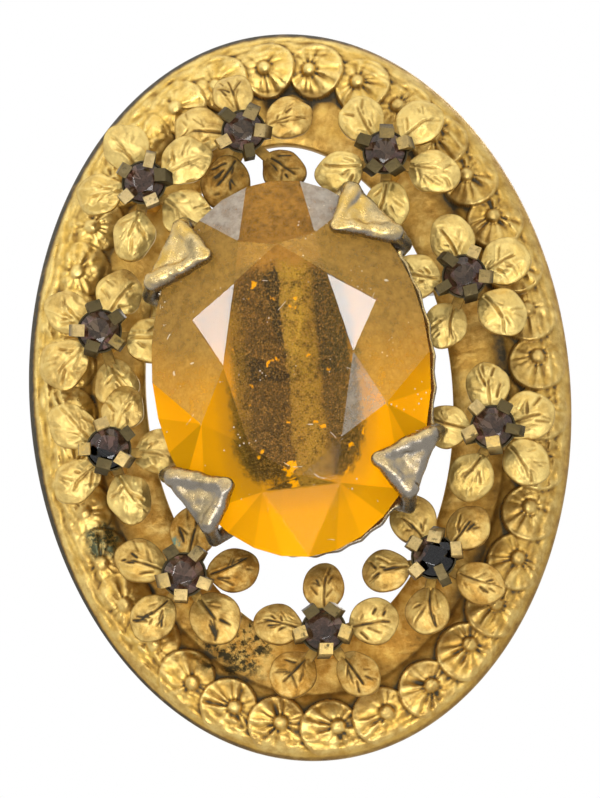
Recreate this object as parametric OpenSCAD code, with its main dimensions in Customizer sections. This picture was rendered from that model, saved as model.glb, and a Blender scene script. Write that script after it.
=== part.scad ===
// Oval costume brooch: a claw-set amber stone, a wreath of ten leaf flowers with small dark
// stones, a stamped scallop border, and a hinged pin with a roll-over catch on the back.
// The pieces are drawn lying face up (x to the right, y along the long axis, z to the front)
// and are then stood upright, with the origin on the pin stem, at its middle.

/* [Centre stone] */
// Width of the oval stone at its girdle
stone_w = 18; // [16:0.5:22]
// Height of the oval stone at its girdle
stone_h = 25; // [22:0.5:30]
// Width of the stone's flat table
table_w = 8.4; // [7:0.2:10]
// Height of the stone's flat table
table_h = 15.4; // [13:0.2:16.4]
// Height of the crown, girdle to table
crown_h = 2; // [1.5:0.1:2.6]
// Depth of the pavilion, girdle to culet
pavilion_h = 4.4; // [3.5:0.1:5]
// Thickness of the girdle
girdle_t = 0.4; // [0.2:0.1:0.6]

/* [Centre setting] */
// Height of the basket's rim under the girdle
basket_rim = 0.6; // [0.4:0.05:0.8]
// How far the setting stands to the right of the stone
setting_shift = 0.4; // [0:0.05:0.5]
// How far the basket's wall steps in below its rim
basket_step = 1.9; // [1.6:0.1:2.2]
// Thickness of the basket's wall
basket_t = 0.45; // [0.4:0.05:0.7]
// Number of arched windows in the basket
window_count = 12; // [8:1:16]
// Width of one fishtail claw at the girdle
claw_w = 3.8; // [3:0.1:4.6]
// Reach of a claw over the stone
claw_reach = 2.1; // [1.6:0.1:3]
// Thickness of a claw's arms
claw_t = 1.2; // [0.9:0.05:1.3]

/* [Wreath] */
// Girdle to flower centres at the brooch's sides
wreath_side = 3.6; // [3.4:0.1:4.6]
// Girdle to flower centres at the brooch's ends
wreath_end = 4.5; // [4:0.1:5.5]
// Diameter of one leaf
leaf_d = 3.25; // [2.8:0.05:3.8]
// Flower centre to leaf centre
leaf_reach = 3.35; // [3:0.05:4]
// Rise of a leaf's domed middle over its edge
leaf_dome = 0.45; // [0.3:0.05:0.7]
// Thickness of the leaf metal
leaf_t = 0.35; // [0.25:0.05:0.5]
// Clear height of the lower leaves over the border
leaf_lift = 1.05; // [0.3:0.05:1.5]
// Least distance of a leaf from the border's outer edge
leaf_margin = 0.9; // [0.6:0.1:1.2]
// Diameter of the post under a flower
post_d = 1.2; // [1:0.1:1.6]

/* [Chatons] */
// Diameter of a small stone
chaton_d = 2.6; // [2.2:0.1:3.2]
// Diameter of a small stone's flat table
chaton_table = 1.4; // [1.1:0.05:1.7]
// Height of a small stone's crown
chaton_crown = 0.45; // [0.3:0.05:0.6]
// Height of a cup, foot to girdle
cup_h = 1.25; // [1.1:0.05:1.8]
// Width of one prong
prong_w = 0.75; // [0.5:0.05:0.9]
// Thickness of one prong
prong_t = 0.3; // [0.2:0.05:0.4]

/* [Border] */
// Flower centres to the outer edge at the sides
edge_side = 5.15; // [4.8:0.05:6]
// Flower centres to the outer edge at the ends
edge_end = 7.5; // [7:0.1:8.5]
// Width of the border, outer edge to opening
border_w = 7.7; // [7.2:0.1:8.4]
// Thickness of the outer edge
rim_t = 0.5; // [0.4:0.05:0.8]
// Width of the plain band outside the scallops
band_w = 0.4; // [0.3:0.1:1]
// Rise of the domed border under the scallops
dome_h = 0.7; // [0.4:0.1:1.5]
// Number of scallops
scallop_count = 36; // [30:1:40]
// Diameter of one scallop
scallop_d = 3.8; // [3.4:0.1:4.2]
// Rise of a scallop over the dome
scallop_rise = 0.5; // [0.3:0.05:0.8]
// Diameter of the bead on a scallop
bead_d = 0.9; // [0.6:0.05:1.1]
// Thickness of the flat ledge
ledge_t = 0.8; // [0.6:0.05:1]
// Thickness of the stamped metal under the scallops
metal_t = 0.6; // [0.5:0.05:0.8]

/* [Pin] */
// Height of the pin above the brooch's middle
pin_y = 7; // [5:0.5:10]
// Length of stem between the hinge and the catch
stem_l = 21.2; // [18:0.2:24]
// Diameter of the pin stem
stem_d = 0.9; // [0.8:0.05:1.2]
// Stem axis to the back bar's face
stem_gap = 2.8; // [2.6:0.1:4]
// Width of the back bar
bar_w = 1.6; // [1.4:0.1:3]
// Thickness of the back bar
bar_t = 0.8; // [0.6:0.05:1.2]
// Thickness of the feet under the hinge and the catch
foot_t = 0.4; // [0.3:0.05:0.6]
// Diameter of the hinge rivet
rivet_d = 1; // [0.8:0.05:1.2]
// Metal round the bore of the stem's eye
eye_wall = 0.5; // [0.4:0.05:0.7]
// Width of the stem's eye
eye_w = 1.4; // [1.2:0.1:2]
// Thickness of a hinge ear
ear_t = 0.6; // [0.5:0.05:1]
// Bore of the catch
catch_bore = 1.5; // [1.4:0.05:2]
// Length of the roll-over sleeve
sleeve_l = 1.8; // [1.4:0.1:2.4]
// Wall of the catch tube and of its sleeve
catch_wall = 0.5; // [0.4:0.05:0.7]

/* [Fits] */
// Gap between a stone and its setting
seat_gap = 0.05; // [0.03:0.01:0.1]
// Radial running clearance of the hinge and the sleeve
run_gap = 0.04; // [0.02:0.01:0.08]
// Side clearance of pieces that turn
side_gap = 0.1; // [0.05:0.01:0.2]
// Clear space between leaves and their neighbours
leaf_gap = 0.15; // [0.1:0.05:0.3]

/* [Hidden] */
$fn = 48;

FLOWERS = ["top", "top_right", "upper_right", "right", "lower_right",
           "bottom", "lower_left", "left", "upper_left", "top_left"];

// Hand-set places of the flowers: lead round the ring in degrees, shift outwards in mm,
// and the turn of the first leaf from the x axis in degrees
flower_lead = [-8, -0.5, -0.5, -1, -3.5, -2, 6, 5, -3.5, -3.5];
flower_shift = [-0.2, 0.1, -0.3, 0.5, -0.2, 0.2, -0.3, 0, 0.1, 0.7];
flower_turn = [24, 46, 26, 20, 37, 12, 9, 69, 66, 35];
// Hand-set angles of the claws round the stone, from the x axis
claw_at = [48, 140.5, 220, 325];
leaf_count = 5;

gilt = [0.72, 0.56, 0.25];
dark_gilt = [0.55, 0.42, 0.2];
amber = [0.85, 0.5, 0.05];
smoke = [0.16, 0.11, 0.09];
steel = [0.62, 0.6, 0.56];

// Plan of the wreath and of the border's outer edge
ring_a = stone_w / 2 + wreath_side;
ring_b = stone_h / 2 + wreath_end;
edge_a = ring_a + edge_side;
edge_b = ring_b + edge_end;

// Section of the border, measured inwards from the outer edge
scallop_r = scallop_d / 2;
scallop_line = band_w + scallop_r;
ledge_from = band_w + scallop_d;

// Places of a cut stone's star tips, and of its lower facets' tips, as shares of its size
star = 0.72;
star_z = 0.72;
lower = 0.3;
lower_z = 0.74;

// Fullness of the dome's shoulders, tilt of a scallop, and height of a bead as a share of its radius
dome_power = 0.8;
scallop_tilt = 0.35;
bead_share = 0.7;

// Levels, from the flat back of the border
dome_top = max([for (w = [0 : 0.05 : ledge_from]) dome_z(w)]);
border_top = dome_top + scallop_rise + bead_d / 2;
leaf_z = border_top + leaf_lift;
leaf_h = leaf_dome + leaf_t;
tier_h = leaf_h + leaf_gap;
stone_z = leaf_z + tier_h + leaf_h + leaf_gap + basket_step + girdle_t / 2;

// Back of the brooch
stem_z = -bar_t - stem_gap;
eye_r = rivet_d / 2 + run_gap + eye_wall;
ear_lip = 0.2;
ear_r = eye_r + ear_lip;
hinge_x = -stem_l / 2 - ear_r - side_gap;
ears_w = eye_w + 2 * (side_gap + ear_t);
rivet_lip = 0.4;
rivet_head_r = rivet_d / 2 + rivet_lip;
rivet_head_t = 0.35;
tube_r = catch_bore / 2 + catch_wall;
sleeve_r = tube_r + run_gap + catch_wall;
cheek_t = 0.8;
catch_x = stem_l / 2;
catch_l = sleeve_l + 2 * (side_gap + cheek_t);
slot_gap = 0.25;
slot_w = stem_d + slot_gap;
tab_turn = -110;
tab_l = 1.3;
bar_end = catch_x + catch_l;
// Free length at either end of the stem's plain shank
shank_clear = 0.4;
// How far a cut runs past the face that it opens
past = 0.5;

// Rounds the outline of the oval clockwise from the top, t in degrees
function oval(t, a, b) = [a * sin(t), b * cos(t)];
function oval_out(t, a, b) = let (n = [sin(t) / a, cos(t) / b]) n / norm(n);
function inset(t, w, a, b) = oval(t, a, b) - w * oval_out(t, a, b);
function at(p, z) = [p[0], p[1], z];

// Triangles of a ring of closed sections, n sections of m points
function ring_faces(n, m) = [
    for (i = [0 : n - 1], j = [0 : m - 1])
        let (i2 = (i + 1) % n, j2 = (j + 1) % m)
        each [[i * m + j, i2 * m + j, i2 * m + j2], [i * m + j, i2 * m + j2, i * m + j2]]
];

// Stands a piece up, front towards -y, with the origin on the pin stem
module stand() {
    rotate([90, 0, 0]) translate([0, -pin_y, -stem_z]) children();
}

// Border

// Height of the dome under the scallops, w in from the outer edge
function dome_z(w) =
    let (u = min(1, w / ledge_from))
    rim_t + (ledge_t - rim_t) * u + dome_h * pow(sin(180 * u), dome_power);

// One pillow-shaped scallop, higher on its clockwise side, where it laps over the next
function scallop_z(along, out) =
    let (q = norm([along, out]) / scallop_r)
    q >= 1 ? 0 : scallop_rise * sqrt(1 - pow(q, 4)) * (1 + scallop_tilt * along / scallop_r);

function bead_z(along, out) =
    let (q = 2 * norm([along, out]) / bead_d)
    q >= 1 ? 0 : bead_share * bead_d / 2 * sqrt(1 - q * q);

// Mesh of the border: columns along each scallop, rows across it
columns = 6;
rows = 8;
// Steps in which the scallops' middle line is measured
line_steps = 360;
line_points = [for (i = [0 : line_steps]) inset(i * 360 / line_steps, scallop_line, edge_a, edge_b)];
line_lengths = [
    for (i = 0, s = 0; i <= line_steps; i = i + 1, s = s + (i > line_steps ? 0
        : norm(line_points[i] - line_points[i - 1]))) [s, i * 360 / line_steps]
];
line_length = line_lengths[line_steps][0];
pitch = line_length / scallop_count;

// Height of the stamped front at column c of a scallop, w in from the outer edge
function front_z(c, w) =
    let (along = c * pitch / columns, out = scallop_line - w)
    dome_z(w) + max([for (k = [-1 : 1]) scallop_z(along - k * pitch, out)
        + bead_z(along - k * pitch - pitch / columns, out)]);

// Closed section of the border at column c, as [w, z]
function border_section(c) = concat(
    [[0, 0], [0, rim_t], [band_w / 2, dome_z(band_w / 2)]],
    [for (k = [0 : rows]) let (w = band_w + scallop_d * k / rows) [w, front_z(c, w)]],
    [[border_w, ledge_t], [border_w, 0], [ledge_from + metal_t, 0]],
    [for (u = [0.75, 0.45, 0.2]) [ledge_from * u, dome_z(ledge_from * u) - metal_t]],
    [[metal_t, 0]]
);

module border() {
    n = scallop_count * columns;
    sections = [for (c = [0 : columns - 1]) border_section(c)];
    m = len(sections[0]);
    points = [
        for (i = [0 : n - 1])
            let (t = lookup(i * pitch / columns, line_lengths))
            for (p = sections[i % columns]) at(inset(t, p[0], edge_a, edge_b), p[1])
    ];
    color(gilt) stand() polyhedron(points, ring_faces(n, m));
}

// Cut stones

// Oval brilliant of n-fold symmetry with its girdle at z = 0, grown all round by g
module brilliant(w, h, tw, th, crown, pavilion, girdle, n, g = 0) {
    step = 360 / n;
    // Points of the girdle from one star tip's middle to the next
    fine = 4;
    function ringlet(count, start, a, b, z) = [
        for (k = [0 : count - 1])
            let (t = start + k * 360 / count) [a * cos(t), b * sin(t), z]
    ];
    girdle_n = fine * n;
    points = concat(
        ringlet(n, 0, tw / 2 + g, th / 2 + g, girdle / 2 + crown + g),
        ringlet(n, step / 2, star * w / 2 + g, star * h / 2 + g, girdle / 2 + crown * star_z + g),
        ringlet(girdle_n, 0, w / 2 + g, h / 2 + g, girdle / 2 + g),
        ringlet(girdle_n, 0, w / 2 + g, h / 2 + g, -girdle / 2 - g),
        ringlet(n, step / 2, lower * w / 2 + g, lower * h / 2 + g, -girdle / 2 - pavilion * lower_z - g),
        [[0, 0, -girdle / 2 - pavilion - g]]
    );
    star_from = n;
    upper_from = 2 * n;
    under_from = upper_from + girdle_n;
    lower_from = under_from + girdle_n;
    culet = lower_from + n;
    faces = concat(
        [[for (k = [n - 1 : -1 : 0]) k]],
        [for (k = [0 : n - 1])
            let (
                k2 = (k + 1) % n,
                s1 = star_from + k,
                s2 = star_from + k2,
                l1 = lower_from + k,
                l2 = lower_from + k2,
                next = fine * k2
            )
            each [
                [k, k2, s1], [k2, s2, s1], [s1, s2, upper_from + next],
                [under_from + next, l2, l1], [l1, l2, culet]
            ]
        ],
        [for (k = [0 : girdle_n - 1])
            let (
                k2 = (k + 1) % girdle_n,
                tip = floor(k / fine),
                u1 = upper_from + k,
                u2 = upper_from + k2,
                v1 = under_from + k,
                v2 = under_from + k2
            )
            each [
                [star_from + tip, u2, u1], [u1, u2, v2], [u1, v2, v1], [v1, v2, lower_from + tip]
            ]
        ]
    );
    polyhedron(points, faces);
}

module centre_cut(g = 0) {
    translate([0, 0, stone_z])
        brilliant(stone_w, stone_h, table_w, table_h, crown_h, pavilion_h, girdle_t, 8, g);
}

module centre_stone() {
    color(amber) stand() centre_cut();
}

// Centre setting

// Basket: a knurled rim under the girdle that steps in to a pierced wall standing on the back bar
module basket() {
    a = stone_w / 2;
    b = stone_h / 2;
    n = 72;
    knurl = 0.15;
    under = stone_z - girdle_t / 2;
    slope = pavilion_h / a;
    rim_in = 0.05;
    rim_z = under - 2 * seat_gap - (rim_in + setting_shift) * slope;
    seat_w = 0.7;
    lean = 0.4;
    low_in = basket_step + basket_t;
    foot_in = low_in + lean;
    step_z = under - basket_step;
    function section(i) = [
        [rim_in + knurl * (i % 2), rim_z],
        [rim_in + seat_w, rim_z - seat_w * slope],
        [low_in, step_z],
        [foot_in, 0],
        [foot_in - basket_t, 0],
        [basket_step, step_z],
        [rim_in + knurl * (i % 2), rim_z - basket_rim]
    ];
    points = [for (i = [0 : n - 1], p = section(i)) at(inset(i * 360 / n, p[0], a, b), p[1])];
    translate([setting_shift, 0, 0]) difference() {
        polyhedron(points, ring_faces(n, len(section(0))));
        for (k = [0 : window_count - 1]) window((k + 0.5) * 360 / window_count, step_z, low_in);
    }
}

// Arched opening through the basket's wall at angle t round the oval
module window(t, top, low_in) {
    a = stone_w / 2;
    b = stone_h / 2;
    out = oval_out(t, a, b);
    r = 1.2;
    sill = 0.9;
    cut_l = 4;
    translate(at(inset(t, low_in, a, b), 0))
        rotate([0, 0, atan2(out[1], out[0])])
        rotate([90, 0, 90])
        linear_extrude(cut_l, center = true)
        polygon(concat(
            [[r, sill], [r, top - sill - r]],
            [for (u = [30 : 30 : 150]) [r * cos(u), top - sill - r + r * sin(u)]],
            [[-r, top - sill - r], [-r, sill]]
        ));
}

// Fishtail claw: a pointed tip on the crown, two spread arms with a dimpled web between them,
// and a bent leg below each arm down to the basket
module claw(t) {
    a = stone_w / 2;
    b = stone_h / 2;
    mid = [a * cos(t), b * sin(t)];
    out = let (v = [mid[0] / a / a, mid[1] / b / b]) v / norm(v);
    side = [-out[1], out[0]];
    r = claw_t / 2;
    slope = star_z * crown_h / ((1 - star) * a);
    top = stone_z + girdle_t / 2;
    // Thickness at the tip, between the arms and at the legs, as shares of the arms'
    fine_share = 0.55;
    stout_share = 0.85;
    heart_in = claw_reach / 5;
    // Place of the knee below the girdle and of the root on the basket
    knee_out = 0.55;
    knee_h = 0.8;
    root_in = 1.1;
    root_h = 1.5;
    leg_spread = 0.75;
    // The tips lean towards the nearer end of the stone
    tip_lean = 0.85;
    lean = tip_lean * sign(mid[0] * mid[1]);
    tip = at(mid - claw_reach * out + lean * side, top + claw_reach * slope + r * fine_share);
    heart = at(mid - heart_in * out, top + heart_in * slope + r * fine_share);
    module knob(p, k = 1) { translate(p) sphere(k * r, $fn = 8); }
    difference() {
        for (s = [-1, 1]) {
            shoulder = at(mid + r / 2 * out + s * claw_w / 2 * side, top + r * stout_share);
            knee = at(mid + knee_out * out + s * (claw_w / 2 + leg_spread) * side, stone_z - knee_h);
            root = at(mid - root_in * out + s * (claw_w / 2 + leg_spread) * side, stone_z - root_h);
            hull() {
                knob(tip, fine_share);
                knob(shoulder);
            }
            hull() {
                knob(heart, fine_share);
                knob(shoulder, fine_share);
                knob(tip, fine_share);
            }
            hull() {
                knob(shoulder);
                knob(knee, stout_share);
            }
            hull() {
                knob(knee, stout_share);
                knob(root, stout_share);
            }
        }
        translate(heart + [0, 0, r]) sphere(r * stout_share, $fn = 12);
    }
}

module centre_setting() {
    color(dark_gilt) stand() {
        basket();
        difference() {
            for (t = claw_at) claw(t);
            centre_cut(seat_gap);
        }
    }
}

// Flowers

function flower_angle(i) = i * 360 / len(FLOWERS) + flower_lead[i];
function flower_at(i) = oval(flower_angle(i), ring_a + flower_shift[i], ring_b + flower_shift[i]);

// Flowers stand alternately low and high, so that neighbouring leaves lap without touching
function flower_z(i) = leaf_z + (i % 2) * tier_h;
function cup_z(i) = flower_z(i) + leaf_h;

// Place on the flat ledge for the post of flower i, square in from the nearest outer edge
function post_at(i) =
    let (
        f = flower_at(i),
        gaps = [for (t = [0 : 359]) norm(f - oval(t, edge_a, edge_b))],
        w = min(gaps),
        t = [for (k = [0 : 359]) if (gaps[k] == w) k][0],
        w_seat = max(ledge_from + leaf_gap + post_d / 2, min(border_w - post_d / 2, w))
    )
    inset(t, w_seat, edge_a, edge_b);

// Longest reach of a leaf from flower i in direction turn that still clears the basket
// on the inside and keeps the leaf's tip within the border on the outside
function reach(i, turn) =
    let (
        least = leaf_d / 4,
        near = leaf_d / 2 + 3 * leaf_gap - basket_step,
        far = leaf_d / 2 + leaf_margin
    )
    max([
        for (r = [least : 0.05 : leaf_reach])
            let (
                p = flower_at(i) + r * [cos(turn), sin(turn)],
                clear_in = share(p, stone_w / 2 + near, stone_h / 2 + near) >= 1,
                clear_out = share(p, edge_a - far, edge_b - far) <= 1
            )
            if (r == least || clear_in && clear_out) r
    ]);

// Square of a point's distance from the middle, as a share of the oval with half-axes a and b
function share(p, a, b) = pow(p[0] / a, 2) + pow(p[1] / b, 2);

// Domed round leaf, its edge at z = 0
module leaf() {
    r = leaf_d / 2;
    ball = (r * r + leaf_dome * leaf_dome) / (2 * leaf_dome);
    rotate_extrude() intersection() {
        square([r, leaf_h]);
        difference() {
            translate([0, leaf_h - ball]) circle(ball, $fn = 96);
            translate([0, leaf_h - ball - leaf_t]) circle(ball, $fn = 96);
        }
    }
}

module leaves(i) {
    stalk_w = 0.7;
    stalk_into = leaf_d * 0.2;
    f = flower_at(i);
    p = post_at(i);
    z = flower_z(i);
    arm = p - f;
    color(gilt) stand() {
        translate(at(p, ledge_t)) cylinder(d = post_d, h = z - ledge_t + leaf_t);
        translate(at(f, z)) {
            cylinder(d = post_d, h = leaf_h);
            rotate([0, 0, atan2(arm[1], arm[0])])
                translate([0, -stalk_w / 2, 0]) cube([norm(arm), stalk_w, leaf_t]);
            for (k = [0 : leaf_count - 1]) {
                turn = flower_turn[i] + k * 360 / leaf_count;
                r = reach(i, turn);
                rotate([0, 0, turn]) {
                    translate([r, 0, 0]) leaf();
                    translate([0, -stalk_w / 2, 0]) cube([r - leaf_d / 2 + stalk_into, stalk_w, leaf_t]);
                }
            }
        }
    }
}

// Cup of a small stone: a flared foot with five flat prongs that stand between the leaves
cup_wall = 0.12;
cup_floor = 0.2;
chaton_girdle = 0.15;
chaton_lift = 2.5 * seat_gap;

module cup(i) {
    r = chaton_d / 2 + seat_gap;
    rim = r + cup_wall;
    top = cup_h + chaton_crown;
    // Heights between which a prong leaves the flare, as shares of the cup's height
    root = 0.4;
    crotch = 0.55;
    over = 0.65;
    tip_t = 0.2;
    color(dark_gilt) stand() translate(at(flower_at(i), cup_z(i))) {
        rotate_extrude() polygon([
            [0, 0], [post_d / 2, 0], [rim, cup_h - cup_wall], [rim, cup_h], [r, cup_h],
            [r, cup_h - chaton_girdle], [0, cup_floor]
        ]);
        for (k = [0 : leaf_count - 1])
            rotate([0, 0, flower_turn[i] + (k + 0.5) * 360 / leaf_count])
            rotate([90, 0, 0]) linear_extrude(prong_w, center = true) polygon([
                [r * 0.75, cup_h * root], [r + prong_t, cup_h - cup_wall],
                [r + prong_t, cup_h + chaton_crown / 2], [r - seat_gap, top + tip_t],
                [r - over, top + 1.5 * tip_t], [r - over, top + tip_t / 2],
                [r + cup_wall / 5, cup_h + tip_t], [r + cup_wall / 5, cup_h - cup_wall],
                [r * 0.8, cup_h * crotch]
            ]);
    }
}

module chaton(i) {
    depth = cup_h - chaton_girdle / 2 - cup_floor - chaton_lift;
    color(smoke) stand() translate(at(flower_at(i), cup_z(i) + cup_h)) rotate([0, 0, flower_turn[i]])
        brilliant(chaton_d, chaton_d, chaton_table, chaton_table, chaton_crown, depth, chaton_girdle, 6);
}

// Back

module back_bar() {
    color(dark_gilt) stand() translate([0, pin_y, -bar_t]) linear_extrude(bar_t) {
        square([2 * bar_end, bar_w], center = true);
        for (s = [-1, 1]) translate([s * bar_end, 0]) circle(d = bar_w);
    }
}

// Two ears on a foot, bored for the rivet, which lies along the brooch's height
module hinge_bracket() {
    color(dark_gilt) stand() translate([hinge_x, pin_y, 0]) difference() {
        union() {
            translate([-ear_r, -ears_w / 2, -bar_t - foot_t]) cube([2 * ear_r, ears_w, foot_t]);
            for (s = [-1, 1]) translate([0, s * (ears_w - ear_t) / 2, 0]) {
                translate([0, 0, stem_z]) rotate([90, 0, 0]) cylinder(r = ear_r, h = ear_t, center = true);
                translate([-ear_r, -ear_t / 2, stem_z]) cube([2 * ear_r, ear_t, stem_gap]);
            }
        }
        translate([0, 0, stem_z]) rotate([90, 0, 0])
            cylinder(d = rivet_d + run_gap, h = ears_w + 2 * past, center = true);
    }
}

module hinge_rivet() {
    color(gilt) stand() translate([hinge_x, pin_y, stem_z]) rotate([90, 0, 0]) {
        cylinder(d = rivet_d, h = ears_w + rivet_head_t, center = true);
        for (s = [-1, 1]) translate([0, 0, s * (ears_w + rivet_head_t) / 2])
            cylinder(r = rivet_head_r, h = rivet_head_t, center = true);
    }
}

// Straight steel pin: a bored eye and a tapered neck at the hinge, a plain shank, and a long
// tapered point that lies in the catch
module pin_stem() {
    neck_d = stem_d + 0.3;
    shank_l = stem_l - 2 * shank_clear;
    tip_out = 0.6;
    tip_d = 0.2;
    point_l = shank_clear + catch_l + tip_out;
    color(steel) stand() translate([0, pin_y, stem_z]) difference() {
        union() {
            translate([hinge_x, 0, 0]) rotate([90, 0, 0]) cylinder(r = eye_r, h = eye_w, center = true);
            translate([hinge_x, 0, 0]) rotate([0, 90, 0])
                cylinder(d1 = neck_d, d2 = stem_d, h = -shank_l / 2 - hinge_x);
            translate([-shank_l / 2, 0, 0]) rotate([0, 90, 0]) cylinder(d = stem_d, h = shank_l);
            translate([shank_l / 2, 0, 0]) rotate([0, 90, 0])
                cylinder(d1 = stem_d, d2 = tip_d, h = point_l);
        }
        translate([hinge_x, 0, 0]) rotate([90, 0, 0])
            cylinder(d = rivet_d + 2 * run_gap, h = eye_w + 2 * past, center = true);
    }
}

// Slot from the catch's bore out to the rear, long enough for every wall of the catch
module catch_slot(l) {
    translate([-past, -slot_w / 2, -2 * sleeve_r]) cube([l + 2 * past, slot_w, 2 * sleeve_r]);
}

// Slotted tube between two cheeks on a foot
module catch_body() {
    cheek_w = 2 * sleeve_r;
    color(dark_gilt) stand() translate([catch_x, pin_y, stem_z]) difference() {
        union() {
            rotate([0, 90, 0]) cylinder(r = tube_r, h = catch_l);
            for (x = [0, catch_l - cheek_t]) translate([x, 0, 0]) {
                rotate([0, 90, 0]) cylinder(r = sleeve_r, h = cheek_t);
                translate([0, -cheek_w / 2, 0]) cube([cheek_t, cheek_w, stem_gap]);
            }
            translate([0, -cheek_w / 2, stem_gap - foot_t]) cube([catch_l, cheek_w, foot_t]);
        }
        translate([-past, 0, 0]) rotate([0, 90, 0]) cylinder(d = catch_bore, h = catch_l + 2 * past);
        catch_slot(catch_l);
    }
}

// Slotted sleeve that rolls round the tube, with a thumb tab
module catch_sleeve() {
    tab_t = 0.5;
    tab_w = sleeve_l * 0.7;
    color(gilt) stand() translate([catch_x + cheek_t + side_gap, pin_y, stem_z]) {
        difference() {
            rotate([0, 90, 0]) cylinder(r = sleeve_r, h = sleeve_l);
            translate([-past, 0, 0]) rotate([0, 90, 0])
                cylinder(r = tube_r + run_gap, h = sleeve_l + 2 * past);
            catch_slot(sleeve_l);
        }
        rotate([tab_turn, 0, 0]) translate([sleeve_l / 2, 0, -sleeve_r]) {
            translate([-tab_w / 2, -tab_t / 2, -tab_l]) cube([tab_w, tab_t, tab_l + catch_wall / 2]);
            translate([0, 0, -tab_l]) rotate([90, 0, 0]) cylinder(d = tab_w, h = tab_t, center = true);
        }
    }
}

border();
centre_setting();
centre_stone();
for (i = [0 : len(FLOWERS) - 1]) {
    leaves(i);
    cup(i);
    chaton(i);
}
back_bar();
hinge_bracket();
hinge_rivet();
pin_stem();
catch_body();
catch_sleeve();
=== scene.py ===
"""Dresses the frame of an oval costume brooch: a claw-set amber stone in a wreath of gilt leaf
flowers with small dark stones, on a stamped border of scallops, with a hinged pin behind."""

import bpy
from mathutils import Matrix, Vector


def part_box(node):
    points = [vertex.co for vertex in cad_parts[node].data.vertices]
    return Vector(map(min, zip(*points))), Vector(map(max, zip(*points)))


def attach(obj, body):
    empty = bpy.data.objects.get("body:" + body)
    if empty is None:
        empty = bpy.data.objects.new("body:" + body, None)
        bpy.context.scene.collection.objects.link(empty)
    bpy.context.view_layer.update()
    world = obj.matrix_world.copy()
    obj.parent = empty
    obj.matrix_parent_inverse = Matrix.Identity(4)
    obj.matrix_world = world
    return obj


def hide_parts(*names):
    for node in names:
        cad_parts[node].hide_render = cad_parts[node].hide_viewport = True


bl_info = {
    "name": "Oval Brooch",
    "version": (1, 0, 0),
    "blender": (4, 5, 0),
    "location": "View3D > Sidebar > Brooch",
    "description": "Models and finishes the pieces of an oval costume brooch round its frame",
    "category": "Add Mesh",
}

import math
from collections import namedtuple
from types import SimpleNamespace

import bmesh
import bpy
import numpy as np
from bpy.props import FloatProperty, FloatVectorProperty, IntProperty, PointerProperty
from mathutils import Matrix, Vector, noise

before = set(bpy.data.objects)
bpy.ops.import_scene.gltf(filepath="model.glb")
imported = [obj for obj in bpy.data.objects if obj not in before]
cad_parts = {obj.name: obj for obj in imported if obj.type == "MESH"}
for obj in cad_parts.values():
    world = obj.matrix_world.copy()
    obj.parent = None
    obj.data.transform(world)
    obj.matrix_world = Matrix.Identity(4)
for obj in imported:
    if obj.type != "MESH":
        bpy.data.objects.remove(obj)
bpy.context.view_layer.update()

MM = 0.001
LEAF_COUNT = 5
# The wreath's flowers, clockwise. turn: first leaf from the x axis in degrees, as in the frame.
# warmth: how coppery the metal has worn, from pale gold at 0 to copper brown at 1. grime:
# how dark the film in the leaves' veins, dents and edges is, as grime and painted shade. crumple:
# how crumpled the leaves are. dirt: share of the cup's prongs that have blackened
Flower = namedtuple("Flower", "name turn warmth grime crumple dirt")
FLOWERS = (
    Flower("top", 24, 0.5, 0.7, 1.5, 0.8),
    Flower("top_right", 46, 0.1, 0.45, 1.1, 0.7),
    Flower("upper_right", 26, 0.12, 0.5, 0.9, 0.45),
    Flower("right", 20, 0.2, 0.65, 0.8, 0.3),
    Flower("lower_right", 37, 0.75, 0.95, 0.6, 0.3),
    Flower("bottom", 12, 0.85, 0.95, 0.6, 0.35),
    Flower("lower_left", 9, 0.8, 1, 0.7, 0.25),
    Flower("left", 69, 0.3, 0.38, 1.5, 0.5),
    Flower("upper_left", 66, 0.25, 0.35, 1.6, 0.5),
    Flower("top_left", 35, 0.15, 0.35, 1.6, 0.6),
)
# Places of the two leaves that have blackened, on the bench
BURNT_LEAVES = ((-3.5, 14.7), (0.3, 15.2))
BACK_NODES = ("back_bar", "hinge_bracket", "hinge_rivet", "catch_body")
# Seeds of the random draws. Each flower adds its place in the wreath
BORDER_SEED = 7
LEAF_SEED = 100
PRONG_SEED = 40
STONE_SEED = 3
CHATON_SEED = 20
# Fineness of the meshes: columns to a scallop, and squares along a leaf
SCALLOP_COLUMNS = 38
LEAF_SQUARES = 54
GLASS_IOR = 1.5
# Crown facets that face the front more squarely than this lie next to the stone's table
BESIDE_TABLE = 0.955
# Part of the centre stone's foil that is lost, in millimetres, and the bands across it, from its
# left edge at 0 to its right edge at 1
LOST_HALF_WIDTH = 3.95
LOST_HALF_HEIGHT = 7.2
LOST_BANDS = (
    (0.0, (0.3, 0.17, 0.02)),
    (0.1, (0.16, 0.095, 0.018)),
    (0.16, (0.05, 0.036, 0.016)),
    (0.455, (0.035, 0.026, 0.012)),
    (0.47, (0.3, 0.18, 0.03)),
    (0.6, (0.4, 0.24, 0.03)),
    (0.7, (0.3, 0.175, 0.025)),
    (0.75, (0.06, 0.045, 0.018)),
    (1.0, (0.1, 0.07, 0.02)),
)

# The bench, on which the pieces are modelled lying face up: millimetres, x to the right,
# y towards the brooch's top and z to the front, from the middle of the border's flat back
border_low, border_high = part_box("border")
middle = (border_low + border_high) / 2
FROM_BENCH = (
    Matrix.Translation((middle.x, border_high.y, middle.z))
    @ Matrix.Rotation(math.pi / 2, 4, "X")
    @ Matrix.Scale(MM, 4)
)
TO_BENCH = FROM_BENCH.inverted()


def bench_box(name):
    """Lowest and highest corner of a frame node, on the bench"""
    corners = [TO_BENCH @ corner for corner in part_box(name)]
    return Vector(map(min, *corners)), Vector(map(max, *corners))


def flower_centre(flower):
    """Middle of a flower's small stone, on the bench"""
    low, high = bench_box("chaton_" + flower.name)
    return ((low + high) / 2).xy


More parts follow.
